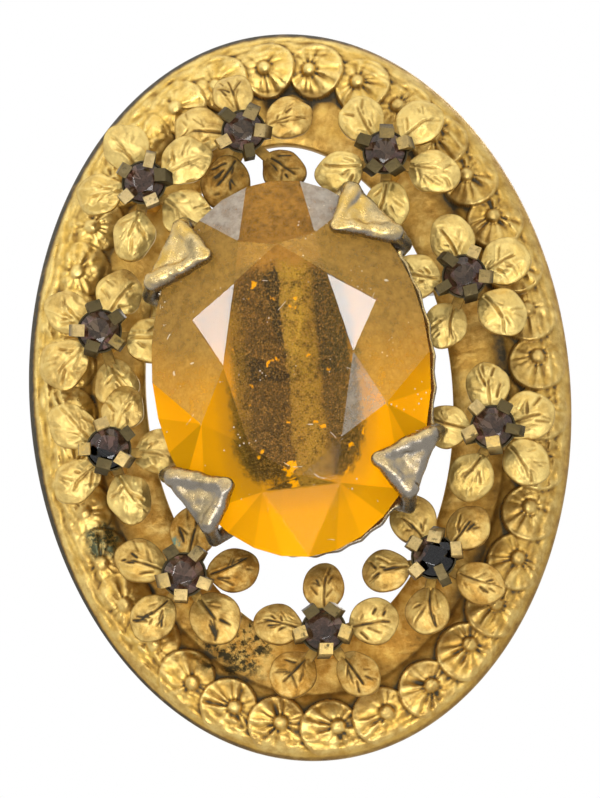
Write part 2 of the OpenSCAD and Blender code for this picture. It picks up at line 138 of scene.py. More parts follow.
def length(name, description, millimetres):
    """A size that a user may change, given here in millimetres"""
    return FloatProperty(
        name=name, description=description, default=millimetres * MM, unit="LENGTH", precision=5
    )


def share(name, description, default):
    return FloatProperty(name=name, description=description, default=default, subtype="FACTOR")


def tint(name, description, red, green, blue):
    return FloatVectorProperty(
        name=name, description=description, default=(red, green, blue, 1), size=4, subtype="COLOR",
        min=0, max=1,
    )


def angle(name, description, degrees):
    return FloatProperty(
        name=name, description=description, default=math.radians(degrees), subtype="ANGLE"
    )


class BorderSizes(bpy.types.PropertyGroup):
    """Stamped oval border"""

    width: length("Width", "Outer edge to opening", 7.7)
    rim: length("Rim", "Thickness of the outer edge", 0.5)
    band: length("Band", "Plain band outside the scallops", 0.4)
    dome: length("Dome", "Rise of the border under the scallops", 0.7)
    ledge: length("Ledge", "Thickness of the flat ledge round the opening", 0.8)
    metal: length("Metal", "Thickness of the stamped metal", 0.6)
    scallops: IntProperty(name="Scallops", description="Number of scallops", default=36, min=8)
    scallop: length("Scallop", "Diameter of one scallop", 3.8)
    rise: length("Rise", "Rise of a scallop's lapping edge over the dome", 0.55)
    shoulder: length("Shoulder", "Rise of the rim between the scallops", 0.26)
    lip: length("Lip", "Rise of the smooth lip round a scallop", 0.06)
    bead: length("Bead", "Diameter of the bead on a scallop", 0.9)
    bead_rise: length("Bead rise", "Height of a bead", 0.3)
    ribs: IntProperty(name="Ribs", description="Ribs round a bead", default=12, min=3)
    rib_depth: length("Rib depth", "Depth of the grooves between ribs", 0.24)
    ring_right: length("Ring right", "How far the ring of scallops sits right of the oval's middle", 0.25)
    ring_down: length("Ring down", "How far the ring of scallops sits below the oval's middle", 0.4)
    dent: length("Dent", "Depth of the border's dents", 0.05)
    rubbed_dent: length("Rubbed dent", "Depth of dents where the border is rubbed", 0.1)
    streak: length("Streak", "Depth of the streaks on the scallops' outer sides", 0.13)


class LeafSizes(bpy.types.PropertyGroup):
    """Domed leaves of the wreath"""

    leaf: length("Leaf", "Diameter of one leaf", 3.25)
    dome: length("Dome", "Rise of a leaf's middle over its edge", 0.45)
    metal: length("Metal", "Thickness of the leaf metal", 0.3)
    vein: length("Vein", "Depth of the engraved strokes", 0.12)
    crumple: length("Crumple", "Depth of dents", 0.1)
    fold: length("Fold", "Depth of folds along a leaf", 0.05)
    stalk: length("Stalk", "Width of a leaf's stalk", 0.7)


class SettingSizes(bpy.types.PropertyGroup):
    """Claw setting, cups and cut stones"""

    cast_grain: length("Cast grain", "Finest form kept on the cast setting", 0.118)
    dent: length("Dent", "Depth of dents in the cast setting", 0.13)
    cup_edge: length("Cup edge", "Rounding of the cups' prongs", 0.13)
    crown: length("Crown", "The stone's table over its girdle", 2.2)
    seat: length("Seat", "Clearance of the rim under the girdle", 0.3)
    web: length("Web", "Foot of the claws' webs over the girdle", 0.5)
    web_sink: length("Web sink", "How far a claw's web lies below its arms", 0.34)
    swell: length("Swell", "How far the claws swell out of their cast", 0.14)
    prong_tip: share("Prong tip", "Share of a small stone's radius that its prongs leave free", 0.55)
    prong_spread: length("Prong spread", "How far the prongs lean out over the leaves", 0.28)
    prong_reach: share("Prong reach", "How much longer the prongs lie over the leaves' ends", 0.3)
    prong_widen: share("Prong widening", "Share added to the prongs' width", 0.05)
    prong_bend: length("Prong bend", "How far a prong's tip is bent out of line", 0.26)
    facet_edge: length("Facet edge", "Wear along the centre stone's facet edges", 0.035)
    chaton_edge: length("Chaton edge", "Wear along the small stones' facet edges", 0.02)
    fitting_edge: length("Fitting edge", "Rounding of the pin fittings' edges", 0.06)


class Finishes(bpy.types.PropertyGroup):
    """Colours of the metals and stones"""

    gilt: tint("Gilt", "Worn gold of border and leaves", 0.68, 0.43, 0.09)
    pale_gilt: tint("Pale gilt", "Gold where it is rubbed bright", 0.86, 0.65, 0.23)
    copper: tint("Copper", "Base metal showing through the gold", 0.58, 0.3, 0.055)
    # The brown film is partly real film and partly painted shade in the hollows and on the border's right
    # side
    film_and_painted_light: tint("Film", "Brown film round the recesses", 0.27, 0.15, 0.035)
    # The black is partly tarnish and partly painted shade in the deepest hollows
    tarnish: tint("Tarnish", "Black film in the deepest recesses", 0.055, 0.043, 0.02)
    verdigris: tint("Verdigris", "Green bloom on the metal", 0.2, 0.36, 0.29)
    green_film: tint("Green film", "Dull green film on the border", 0.1, 0.105, 0.055)
    # The grey is partly worn claw metal and partly painted shade on the claws' faces turned away from the
    # lamps
    pewter_and_shade: tint("Pewter", "Grey metal of the worn claws", 0.3, 0.265, 0.215)
    cream: tint("Cream", "Gilding left on the claws", 0.66, 0.5, 0.24)
    prong: tint("Prong", "Dull gold of the cups' prongs", 0.42, 0.3, 0.12)
    steel: tint("Steel", "Pin wire", 0.55, 0.53, 0.49)
    amber: tint("Amber", "Body colour of the centre stone", 1.0, 0.97, 0.85)
    foil: tint("Foil", "Bright foil behind the centre stone", 0.97, 0.42, 0.002)
    brown_foil: tint("Brown foil", "Foil that has browned at the stone's top", 0.36, 0.18, 0.035)
    bare_foil: tint("Bare foil", "Where the foil is lost", 0.03, 0.021, 0.008)
    # The veil is partly dust and partly painted reflection haze on the upper facets
    dust_and_reflection: tint("Veil", "Dusty film on the upper facets", 0.72, 0.42, 0.1)
    # Painted reflection of the bright room above, on facets at the stone's top
    grey_veil: tint("Grey veil", "Thicker film on facets at the stone's top", 0.62, 0.57, 0.48)
    smoke: tint("Smoke", "Body colour of the small stones", 0.7, 0.57, 0.52)
    smoke_foil: tint("Smoke foil", "Dark foil behind the small stones", 0.2, 0.12, 0.085)
    pale_smoke: tint("Pale smoke", "Foil behind the small stones' lit facets", 0.6, 0.45, 0.4)


class StageSizes(bpy.types.PropertyGroup):
    """Camera, lamps and floor"""

    azimuth: angle("Azimuth", "Camera to the right of the brooch's face", 3.04)
    elevation: angle("Elevation", "Camera over the brooch's face", -13.57)
    roll: angle("Roll", "Lean of the camera", -5.42)
    distance: length("Distance", "Camera to the border", 400)
    aim: length("Aim", "Height aimed at, over the brooch's middle", -0.37)
    lens: FloatProperty(
        name="Lens", description="Focal length in millimetres", default=275.2, subtype="DISTANCE_CAMERA"
    )
    floor_drop: length("Floor drop", "Floor below the brooch's middle", 150)
    floor_white: share("Floor white", "Share of plain white in the floor where it is seen", 0.62)
    fill: share("Fill", "Strength of the white surroundings as light", 0.45)


def on_bench(group):
    """The values of a property group, with its lengths in millimetres"""
    values = {}
    for prop in group.bl_rna.properties:
        if prop.identifier not in ("rna_type", "name"):
            value = getattr(group, prop.identifier)
            values[prop.identifier] = value / MM if prop.unit == "LENGTH" else value
    return SimpleNamespace(**values)


def smooth_step(low, high, value):
    u = np.clip((value - low) / (high - low), 0, 1)
    return u * u * (3 - 2 * u)


def add_piece(name, bm, materials, slot, body, *nodes, sharp=None):
    """Stands a finished bench mesh up in the frame as the piece that takes the place of nodes"""
    mesh = bpy.data.meshes.new(name)
    bm.transform(FROM_BENCH)
    bm.to_mesh(mesh)
    bm.free()
    for material in materials:
        mesh.materials.append(material)
    mesh.shade_smooth()
    if sharp is not None:
        mesh.set_sharp_from_angle(angle=math.radians(sharp))
    piece = bpy.data.objects.new(name, mesh)
    bpy.context.scene.collection.objects.link(piece)
    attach(piece, body)
    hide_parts(*nodes)
    return piece


def bench_copy(name):
    """A copy of a frame node's solid on the bench, its flat faces whole again"""
    bm = bmesh.new()
    bm.from_mesh(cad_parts[name].data)
    bm.transform(TO_BENCH)
    bmesh.ops.remove_doubles(bm, verts=bm.verts, dist=0.002)
    bmesh.ops.dissolve_limit(
        bm, angle_limit=math.radians(0.6), verts=bm.verts, edges=bm.edges, use_dissolve_boundaries=False
    )
    return bm


def round_edges(bm, width, least_angle, segments):
    """Rounds the edges that turn by more than least_angle degrees"""
    least = math.radians(least_angle)
    sharp = [e for e in bm.edges if e.is_manifold and e.calc_face_angle(0) > least]
    bmesh.ops.bevel(
        bm, geom=sharp, offset=width, offset_type="OFFSET", affect="EDGES", segments=segments,
        profile=0.5, material=-1, clamp_overlap=True,
    )


# Materials


def node(tree, kind, sockets=None, **settings):
    """Adds a node. Each socket is given a value, or another node's output to be joined to"""
    made = tree.nodes.new(kind)
    for name, value in settings.items():
        setattr(made, name, value)
    for key, value in (sockets or {}).items():
        if isinstance(value, bpy.types.NodeSocket):
            tree.links.new(value, made.inputs[key])
        else:
            made.inputs[key].default_value = value
    return made


def math_node(tree, operation, first, second=0.0, clamp=False):
    sockets = {0: first, 1: second}
    return node(tree, "ShaderNodeMath", sockets, operation=operation, use_clamp=clamp).outputs[0]


def plus(tree, first, second):
    return math_node(tree, "ADD", first, second)


def times(tree, first, second, clamp=False):
    return math_node(tree, "MULTIPLY", first, second, clamp)


def vector_node(tree, operation, first, second):
    """A vector, or a number for a dot product or a distance"""
    made = node(tree, "ShaderNodeVectorMath", {0: first, 1: second}, operation=operation)
    return made.outputs["Value" if operation in ("DOT_PRODUCT", "DISTANCE") else "Vector"]


def mix_colour(tree, factor, first, second):
    sockets = {"Factor": factor, 6: first, 7: second}
    return node(tree, "ShaderNodeMix", sockets, data_type="RGBA").outputs[2]


def span(tree, value, low, high, start=0.0, end=1.0):
    """Maps low..high to start..end, clamped"""
    sockets = {"Value": value, "From Min": low, "From Max": high, "To Min": start, "To Max": end}
    return node(tree, "ShaderNodeMapRange", sockets).outputs[0]


def cloud(tree, coords, size, detail=4.0, roughness=0.55):
    """Noise with features of the given size in millimetres"""
    sockets = {"Vector": coords, "Scale": 1 / (size * MM), "Detail": detail, "Roughness": roughness}
    return node(tree, "ShaderNodeTexNoise", sockets).outputs["Fac"]


def attribute(tree, name):
    return node(tree, "ShaderNodeAttribute", attribute_name=name).outputs["Fac"]


def new_material(name):
    """A material with an empty tree, and its object coordinates"""
    material = bpy.data.materials.new(name)
    material.use_nodes = True
    tree = material.node_tree
    tree.nodes.clear()
    coords = node(tree, "ShaderNodeTexCoord").outputs["Object"]
    return material, tree, coords


def mix_shader(tree, factor, first, second):
    return node(tree, "ShaderNodeMixShader", {0: factor, 1: first, 2: second}).outputs[0]


def diffuse(tree, colour):
    return node(tree, "ShaderNodeBsdfDiffuse", {"Color": colour}).outputs[0]


def surface(tree, shader):
    node(tree, "ShaderNodeOutputMaterial", {"Surface": shader})


def metal_surface(tree, colour, metallic, roughness, relief, depth):
    """Ends a tree in metal, with fine relief of the given depth in millimetres"""
    bump = node(tree, "ShaderNodeBump", {"Height": relief, "Distance": depth * MM, "Strength": 1.0})
    metal = node(tree, "ShaderNodeBsdfPrincipled", {
        "Base Color": colour,
        "Metallic": metallic,
        "Roughness": roughness,
        "Normal": bump.outputs["Normal"],
    })
    surface(tree, metal.outputs[0])


def facing(tree, direction):
    """How squarely the surface faces a direction of the frame, 1 at most"""
    normal = tree.nodes["Texture Coordinate"].outputs["Normal"]
    return vector_node(tree, "DOT_PRODUCT", normal, direction)


def patch(tree, coords, x, y, size, dapple):
    """Ragged spot on the brooch's face at bench x, y, as a factor. dapple breaks it into flecks, and
    nothing shows on the back"""
    size *= MM
    ragged = node(tree, "ShaderNodeTexNoise", {"Vector": coords, "Scale": 1 / MM, "Detail": 4.0})
    shift = vector_node(tree, "MULTIPLY", ragged.outputs["Color"], (size, size, size))
    moved = vector_node(tree, "ADD", coords, shift)
    flat = vector_node(tree, "MULTIPLY", moved, (1, 0, 1))
    place = FROM_BENCH @ Vector((x, y, 0)) + Vector((0.5, 0, 0.5)) * size
    place.y = 0
    spot = span(tree, vector_node(tree, "DISTANCE", flat, place), size, 0.6 * size)
    flecks = cloud(tree, coords, 0.6, detail=7.0, roughness=0.75)
    flecks = span(tree, flecks, 0.46, 0.46 + 0.1 * dapple, 1 - dapple, 1)
    return times(tree, times(tree, spot, flecks), span(tree, facing(tree, (0, -1, 0)), 0, 0.3))


def aged_gilt(name, finish, roughness=0.28, tarnish=1.0, grain=0.022, spots=()):
    """Worn gilding: bright on the crests, copper where worn through, brown and then black in the
    recesses, as tarnish and painted shade. grain is its depth in millimetres, and spots lists
    ragged patches as (colour, x, y, size, dapple)"""
    material, tree, coords = new_material(name)
    broad = cloud(tree, coords, 2.6)
    mid = cloud(tree, coords, 0.8, detail=6.0, roughness=0.65)
    fine = cloud(tree, coords, 0.22, detail=5.0, roughness=0.7)
    recess = attribute(tree, "recess")
    warmth = attribute(tree, "warmth")
    rubbed = plus(tree, span(tree, broad, 0.4, 0.7, 0, 0.7), attribute(tree, "crest"))
    rubbed = plus(tree, rubbed, span(tree, fine, 0.5, 0.75, 0, 0.4))
    colour = mix_colour(tree, rubbed, finish.gilt, finish.pale_gilt)
    worn = times(tree, warmth, span(tree, mid, 0.3, 0.6))
    colour = mix_colour(tree, worn, colour, finish.copper)
    flecks = times(tree, span(tree, mid, 0.62, 0.74), span(tree, warmth, 0, 1, 0.06, 0.6))
    # The recess attribute is grime and painted shade: the deeper, the browner and then blacker
    depth = times(tree, recess, span(tree, mid, 0.2, 0.6, 0.6, 1.3))
    depth = times(tree, plus(tree, depth, flecks), tarnish, clamp=True)
    colour = mix_colour(tree, span(tree, mid, 0.46, 0.66, 0, 0.35), colour, finish.film_and_painted_light)
    colour = mix_colour(tree, span(tree, depth, 0.08, 0.55, 0, 0.85), colour, finish.film_and_painted_light)
    # Black in the deepest hollows, as tarnish and painted shade
    grime = span(tree, depth, 0.55, 1.0)
    colour = mix_colour(tree, grime, colour, finish.tarnish)
    for spot_colour, x, y, size, dapple in spots:
        colour = mix_colour(tree, patch(tree, coords, x, y, size, dapple), colour, spot_colour)
    dull = plus(tree, times(tree, depth, 0.25), times(tree, warmth, 0.16))
    rough = plus(tree, span(tree, fine, 0.25, 0.75, roughness - 0.08, roughness + 0.12), dull)
    relief = plus(tree, fine, times(tree, mid, 2.5))
    metal_surface(tree, colour, span(tree, grime, 0, 1, 1.0, 0.3), rough, relief, grain)
    return material


def claw_metal(name, finish):
    """Cast setting: gilding left on the faces that look to the front and up, most of it on the upper
    claws, and grey metal elsewhere. The split is partly wear and partly painted light: faces turned
    to the lamps are painted gold, the others grey as painted shade"""
    material, tree, coords = new_material(name)
    mid = cloud(tree, coords, 1.5, detail=5.0, roughness=0.55)
    fine = cloud(tree, coords, 0.2, detail=4.0, roughness=0.65)
    up = node(tree, "ShaderNodeSeparateXYZ", {0: coords}).outputs["Z"]
    # Painted light: faces turned to the front and up, and the upper claws, get the gold; the rest is grey,
    # partly wear and partly painted shade
    gilded_and_lit = plus(tree, facing(tree, (-0.1, -0.9, 0.4)), math_node(tree, "SUBTRACT", mid, 0.5))
    gilded_and_lit = plus(tree, gilded_and_lit, span(tree, up, middle.z - 6 * MM, middle.z + 4 * MM, -0.3, 0.05))
    gilded_and_lit = span(tree, gilded_and_lit, 0.35, 0.75)
    colour = mix_colour(tree, span(tree, mid, 0.35, 0.6), finish.gilt, finish.cream)
    colour = mix_colour(tree, gilded_and_lit, finish.pewter_and_shade, colour)
    grime = math_node(tree, "MAXIMUM", span(tree, mid, 0.55, 0.68, 0, 0.7), attribute(tree, "recess"))
    grime = times(tree, grime, 0.8)
    colour = mix_colour(tree, grime, colour, finish.tarnish)
    rough = span(tree, fine, 0.25, 0.75, 0.18, 0.38)
    metal_surface(tree, colour, span(tree, grime, 0, 1, 1.0, 0.5), rough, fine, 0.03)
    return material


def prong_metal(name, finish):
    """Cups: dull gold prongs over a blackened body"""
    material, tree, coords = new_material(name)
    mid = cloud(tree, coords, 0.6, detail=6.0, roughness=0.65)
    fine = cloud(tree, coords, 0.12, detail=3.0, roughness=0.7)
    broad = cloud(tree, coords, 6.0, detail=1.0)
    colour = mix_colour(tree, span(tree, broad, 0.35, 0.65), finish.gilt, finish.cream)
    colour = mix_colour(tree, span(tree, mid, 0.58, 0.42, 0, 0.9), colour, finish.prong)
    colour = mix_colour(tree, span(tree, mid, 0.55, 0.68, 0, 0.9), colour, finish.tarnish)
    colour = mix_colour(tree, attribute(tree, "recess"), colour, finish.tarnish)
    rough = span(tree, fine, 0.25, 0.75, 0.24, 0.5)
    metal_surface(tree, colour, 0.9, rough, plus(tree, fine, mid), 0.03)
    return material


def drawn_steel(name, finish):
    """Drawn pin wire, with fine lines along it"""
    material, tree, coords = new_material(name)
    along = node(tree, "ShaderNodeMapping", {"Vector": coords, "Scale": (0.04, 1, 1)}).outputs[0]
    lines = cloud(tree, along, 0.09, detail=3.0)
    mid = cloud(tree, coords, 1.4, detail=6.0)
    colour = mix_colour(tree, span(tree, mid, 0.55, 0.75, 0, 0.6), finish.steel, finish.copper)
    metal_surface(tree, colour, 1.0, span(tree, lines, 0.3, 0.7, 0.22, 0.4), lines, 0.01)
    return material


def cut_glass(name, colour, dust):
    """Polished coloured glass. Each facet has its sheen, its painted light and its veil of dust and
    painted reflection as attributes. dust is the share of specks and fine scratches that is kept"""
    material, tree, coords = new_material(name)
    shine = node(tree, "ShaderNodeBsdfGlossy", {"Color": (1, 1, 1, 1), "Roughness": 0.04})
    # Painted shade: facets with little painted light refract a darker, greener colour
    shaded_by_facet = mix_colour(tree, attribute(tree, "tone"), (0.44, 0.5, 0.3, 1), colour)
    clear = node(tree, "ShaderNodeBsdfRefraction", {"Color": shaded_by_facet, "Roughness": 0.0, "IOR": GLASS_IOR})
    fresnel = node(tree, "ShaderNodeFresnel", {"IOR": GLASS_IOR}).outputs[0]
    mirror = times(tree, fresnel, attribute(tree, "sheen"))
    outside = mix_shader(tree, mirror, clear.outputs[0], shine.outputs[0])
    inside = node(tree, "ShaderNodeBsdfRefraction", {"Color": colour, "Roughness": 0.0, "IOR": 1.0})
    within = node(tree, "ShaderNodeNewGeometry").outputs["Backfacing"]
    glass = mix_shader(tree, within, outside, inside.outputs[0])
    # The veil is a diffuse film laid on the facets, partly dust and partly painted reflection
    film_and_painted_light = node(tree, "ShaderNodeAttribute", attribute_name="dust_and_reflection")
    patchy = span(tree, cloud(tree, coords, 0.7, detail=7.0, roughness=0.7), 0.3, 0.7, 0.45, 1.4)
    dust_and_reflection = times(tree, film_and_painted_light.outputs["Alpha"], patchy, clamp=True)
    with_dust_and_reflection = mix_shader(tree, dust_and_reflection, glass, diffuse(tree, film_and_painted_light.outputs["Color"]))
    grains = node(tree, "ShaderNodeTexVoronoi", {"Vector": coords, "Scale": 1 / (0.4 * MM)})
    thick = span(tree, cloud(tree, coords, 2.2, detail=3.0), 0.5, 0.72, 0.01, 0.17)
    speck = math_node(tree, "LESS_THAN", grains.outputs["Distance"], thick)
    # Scratches: short stretches of a noise's level lines
    level = math_node(tree, "SUBTRACT", cloud(tree, coords, 3.4, detail=0.0), 0.5)
    line = math_node(tree, "LESS_THAN", math_node(tree, "ABSOLUTE", level), 0.0028)
    line = times(tree, line, span(tree, cloud(tree, coords, 0.8, detail=1.0), 0.65, 0.69))
    lint = times(tree, times(tree, math_node(tree, "MAXIMUM", speck, line), dust), 0.75)
    surface(tree, mix_shader(tree, lint, with_dust_and_reflection, diffuse(tree, (0.85, 0.78, 0.62, 1))))
    return material


def stone_foil(name, finish):
    """Foil behind the centre stone: bright at its foot, browner upwards, and lost in dark bands
    and grains under the table, each facet dimmed a little by its painted light, which stands for
    the surroundings it mirrors"""
    material, tree, coords = new_material(name)
    place = node(tree, "ShaderNodeMapping", {
        "Vector": coords, "Location": -middle / MM, "Scale": (1 / MM,) * 3,
    }).outputs[0]
    across, _, height = node(tree, "ShaderNodeSeparateXYZ", {0: place}).outputs
    tone = attribute(tree, "tone")
    grain = cloud(tree, coords, 0.45, detail=8.0, roughness=0.8)
    sand = cloud(tree, coords, 0.22, detail=5.0, roughness=0.75)
    broad = math_node(tree, "SUBTRACT", cloud(tree, coords, 3.0), 0.5)

    rise = plus(tree, height, times(tree, broad, 4))
    # Painted reflection: each facet's painted light dims the bright foil a little
    shade = span(tree, tone, 0, 1, 0.96, 1.0)
    bright = node(tree, "ShaderNodeVectorMath", {0: finish.foil[:3], "Scale": shade}, operation="SCALE")
    colour = mix_colour(tree, span(tree, rise, -1.0, 2.5), bright.outputs[0], finish.brown_foil)
    burnt = times(tree, span(tree, grain, 0.42, 0.62, 0, 0.7), span(tree, rise, 1.0, 5.0))
    colour = mix_colour(tree, burnt, colour, finish.bare_foil)

    # Dark bands across the lost part, from its left edge to its right one
    blotch = math_node(tree, "SUBTRACT", cloud(tree, coords, 1.3, detail=5.0, roughness=0.65), 0.5)
    wander = times(tree, plus(tree, broad, blotch), 0.9)
    bands = node(tree, "ShaderNodeValToRGB", {
        0: span(tree, plus(tree, across, wander), -LOST_HALF_WIDTH, LOST_HALF_WIDTH),
    })
    while len(bands.color_ramp.elements) < len(LOST_BANDS):
        bands.color_ramp.elements.new(1.0)
    for element, (position, band) in zip(bands.color_ramp.elements, LOST_BANDS):
        element.position = position
        element.color = (*band, 1)
    dark = mix_colour(tree, span(tree, height, -0.2, -0.5, 0, 0.2), bands.outputs[0], finish.brown_foil)
    # Painted reflection: facets with more painted light show brown foil over the dark bands
    dark = mix_colour(tree, span(tree, tone, 0.5, 1.0, 0, 0.3), dark, finish.brown_foil)
    dark = mix_colour(tree, span(tree, grain, 0.52, 0.4, 0, 0.75), dark, finish.bare_foil)
    dark = mix_colour(tree, span(tree, sand, 0.5, 0.6, 0, 0.55), dark, finish.brown_foil)
    dust = cloud(tree, coords, 0.12, detail=2.0, roughness=0.8)
    dark = mix_colour(tree, span(tree, dust, 0.6, 0.7, 0, 0.6), dark, finish.dust_and_reflection)
    dark = mix_colour(tree, span(tree, dust, 0.42, 0.34, 0, 0.8), dark, finish.bare_foil)
    left = span(tree, cloud(tree, coords, 1.1, detail=3.0), 0.66, 0.7)
    dark = mix_colour(tree, left, dark, bright.outputs[0])

    # 1 on the edge of the lost part, a blunt oval a little above the stone's middle
    x_share = math_node(tree, "ABSOLUTE", math_node(tree, "DIVIDE", across, LOST_HALF_WIDTH))
    z_share = math_node(tree, "ABSOLUTE", math_node(tree, "DIVIDE", height, LOST_HALF_HEIGHT))
    away = plus(tree, math_node(tree, "POWER", x_share, 4), math_node(tree, "POWER", z_share, 4))
    ragged = plus(tree, away, span(tree, grain, 0.2, 0.8, 0.5, -0.5))
    colour = mix_colour(tree, span(tree, ragged, 2.6, 0.9, 0, 0.5), colour, finish.brown_foil)
    colour = mix_colour(tree, span(tree, ragged, 1.1, 0.75), colour, dark)
    gloss = node(tree, "ShaderNodeBsdfGlossy", {"Color": colour, "Roughness": 0.35})
    surface(tree, mix_shader(tree, 0.12, diffuse(tree, colour), gloss.outputs[0]))
    return material


def smoke_foil(name, finish):
    """Dark foil behind the small stones, painted paler on the facets with the most painted light, as lit
    facets
    """
    material, tree, coords = new_material(name)
    tone = attribute(tree, "tone")
    grain = cloud(tree, coords, 0.3, detail=6.0, roughness=0.7)
    colour = mix_colour(tree, span(tree, grain, 0.4, 0.7), finish.smoke_foil, finish.bare_foil)
    # Painted light: the facets with the most of it get the pale foil of lit facets
    colour = mix_colour(tree, span(tree, tone, 0.6, 1.0, 0, 0.8), colour, finish.pale_smoke)
    sockets = {"Base Color": colour, "Metallic": 0.3, "Roughness": 0.35}
    surface(tree, node(tree, "ShaderNodeBsdfPrincipled", sockets).outputs[0])
    return material


# Border


class OvalLine:
    """The border's oval: places inset from its outer edge, spaced evenly along the scallops' line"""

    def __init__(self, half_width, half_height, inset, steps=1440):
        self.half = (half_width, half_height)
        turn = np.linspace(0, 2 * np.pi, steps + 1)
        points = self.at(turn, np.full(steps + 1, inset))
        runs = np.hypot(*np.diff(points, axis=0).T)
        self.turn = turn
        self.reach = np.concatenate([[0], np.cumsum(runs)])
        self.length = self.reach[-1]

    def at(self, turn, inset):
        """Points at clockwise turns from the top, inset squarely from the outer edge"""
        half_width, half_height = self.half
        out = np.stack([np.sin(turn) / half_width, np.cos(turn) / half_height], axis=1)
        out /= np.linalg.norm(out, axis=1, keepdims=True)
        edge = np.stack([half_width * np.sin(turn), half_height * np.cos(turn)], axis=1)
        return edge - inset[:, None] * out

    def turn_at(self, along):
        return np.interp(along, self.reach, self.turn)


def dome_height(inset, sizes):
    """Front of the plain stamped border, before its scallops"""
    foot = sizes.band + sizes.scallop
    u = np.clip(inset / foot, 0, 1)
    return sizes.rim + (sizes.ledge - sizes.rim) * u + sizes.dome * np.sin(np.pi * u) ** 0.8


def one_scallop(along, out, index, rubbed, sizes, draws):
    """Relief of one scallop: a flat round plate that rises to its clockwise edge, with a smooth lip,
    a bead, and uneven ribs that fan from the bead. rubbed is 0 for a crisp one and 1 for a soft lump"""
    radius = sizes.scallop / 2
    share_out = np.hypot(along, out) / radius
    plate = sizes.rise * (0.4 + 0.3 * (along / radius + 1))
    plate += sizes.lip * np.exp(-((share_out - 0.93) / 0.05) ** 2)
    # Each bead sits off the middle by its own amounts
    bead_x = along + 0.2 + 0.35 * draws["bead"][index]
    bead_y = out - 0.3 * (draws["lean"][index] - 0.4)
    away = np.hypot(bead_x, bead_y)
    heading = np.arctan2(bead_y, bead_x)
    # Grooves between the ribs, unevenly spaced, fade near the bead and the lip
    turned = 6.28 * draws["phase"][index]
    uneven = heading + 0.14 * np.sin(2 * heading + turned) + 0.07 * np.sin(5 * heading - 2 * turned)
    groove = (0.5 + 0.5 * np.cos(uneven * sizes.ribs + turned)) ** 1.6
    groove *= 0.6 + 0.4 * np.sin(3 * heading + 3 * turned)
    groove *= smooth_step(0.42, 0.6, away) * (1 - 0.45 * smooth_step(0.8, 1.6, away))
    groove *= 1 - smooth_step(0.84, 0.95, share_out)
    groove *= 0.5 + 0.5 * smooth_step(-0.5, 0.4, bead_x)
    plate -= sizes.rib_depth * groove * (0.6 + 0.8 * draws["depth"][index])
    # The bead stands in a shallow ring
    bead = np.sqrt(np.clip(1 - (2 * away / sizes.bead) ** 2, 0, 1))
    plate += sizes.bead_rise * bead - 0.07 * np.exp(-((away - 0.57) / 0.09) ** 2)
    edge = np.sqrt(np.clip(1 - share_out ** 26, 0, 1))
    crisp = np.where(share_out < 1, plate * edge, 0)
    # Rubbed, it is a low dome with traces of its bead and ribs
    soft = np.where(share_out < 1, 0.8 * sizes.rise * (1 - share_out ** 2), 0)
    soft += 0.35 * sizes.bead_rise * np.exp(-(2 * away / sizes.bead) ** 2)
    soft -= 0.4 * sizes.rib_depth * groove * (share_out < 1)
    return crisp + rubbed * (soft - crisp)


def rubbing(turn):
    """How far the scallops are rubbed smooth: the left side is, and the far right a little"""
    return 0.6 * smooth_step(0.2, 0.75, -np.sin(turn - 0.2)) + 0.1 * smooth_step(0.6, 1, np.sin(turn))


def scallop_relief(along, inset, turn, pitch, sizes, draws):
    """Height of the lapping scallops over the dome, along their line and inset from the edge"""
    drift = sizes.ring_down * np.cos(turn) - sizes.ring_right * np.sin(turn)
    out = sizes.band + sizes.scallop / 2 + drift - inset
    rubbed = rubbing(turn)
    nearest = np.round(along / pitch)
    height = np.zeros_like(along)
    for lap in (-1, 0, 1):
        index = (nearest + lap).astype(int)
        one = one_scallop(along - index * pitch, out, index % sizes.scallops, rubbed, sizes, draws)
        height = np.maximum(height, one)
    # Their outer sides run into the rim
    rim_side = smooth_step(0.0, 0.75, 2 * out / sizes.scallop)
    height = np.maximum(height, sizes.shoulder * rim_side)
    return height * smooth_step(0, 0.5, inset)


def border_section(sizes):
    """Closed section of the border as (inset, height): up the outer edge, over the front, back below"""
    foot = sizes.band + sizes.scallop
    fine_end = foot + sizes.ring_down
    round_off = 0.1
    back_corner = 0.05
    front_corner = 0.08
    front = [*np.linspace(round_off, fine_end, 51), *np.linspace(fine_end, sizes.width - round_off, 5)[1:]]
    back = np.linspace(foot * 0.92, sizes.metal * 1.6, 6)
    section = [(0.0, back_corner), (0.0, sizes.rim - front_corner)]
    section += [(w, float(dome_height(w, sizes))) for w in front]
    section += [(sizes.width, sizes.ledge - round_off), (sizes.width, round_off)]
    section += [(sizes.width - round_off, 0.0), (foot + sizes.metal, 0.0)]
    section += [(w, float(dome_height(w, sizes)) - sizes.metal) for w in back]
    section += [(sizes.metal, 0.0), (back_corner, 0.0)]
    return np.array(section)


def surroundings_height(heights, reach):
    """Mean height round each point of a strip that is closed along its first axis"""
    steps = range(-reach, reach + 1)
    around = sum(np.roll(heights, step, axis=0) for step in steps) / len(steps)
    padded = np.pad(around, ((0, 0), (reach, reach)), mode="edge")
    return sum(padded[:, k:k + heights.shape[1]] for k in range(len(steps))) / len(steps)


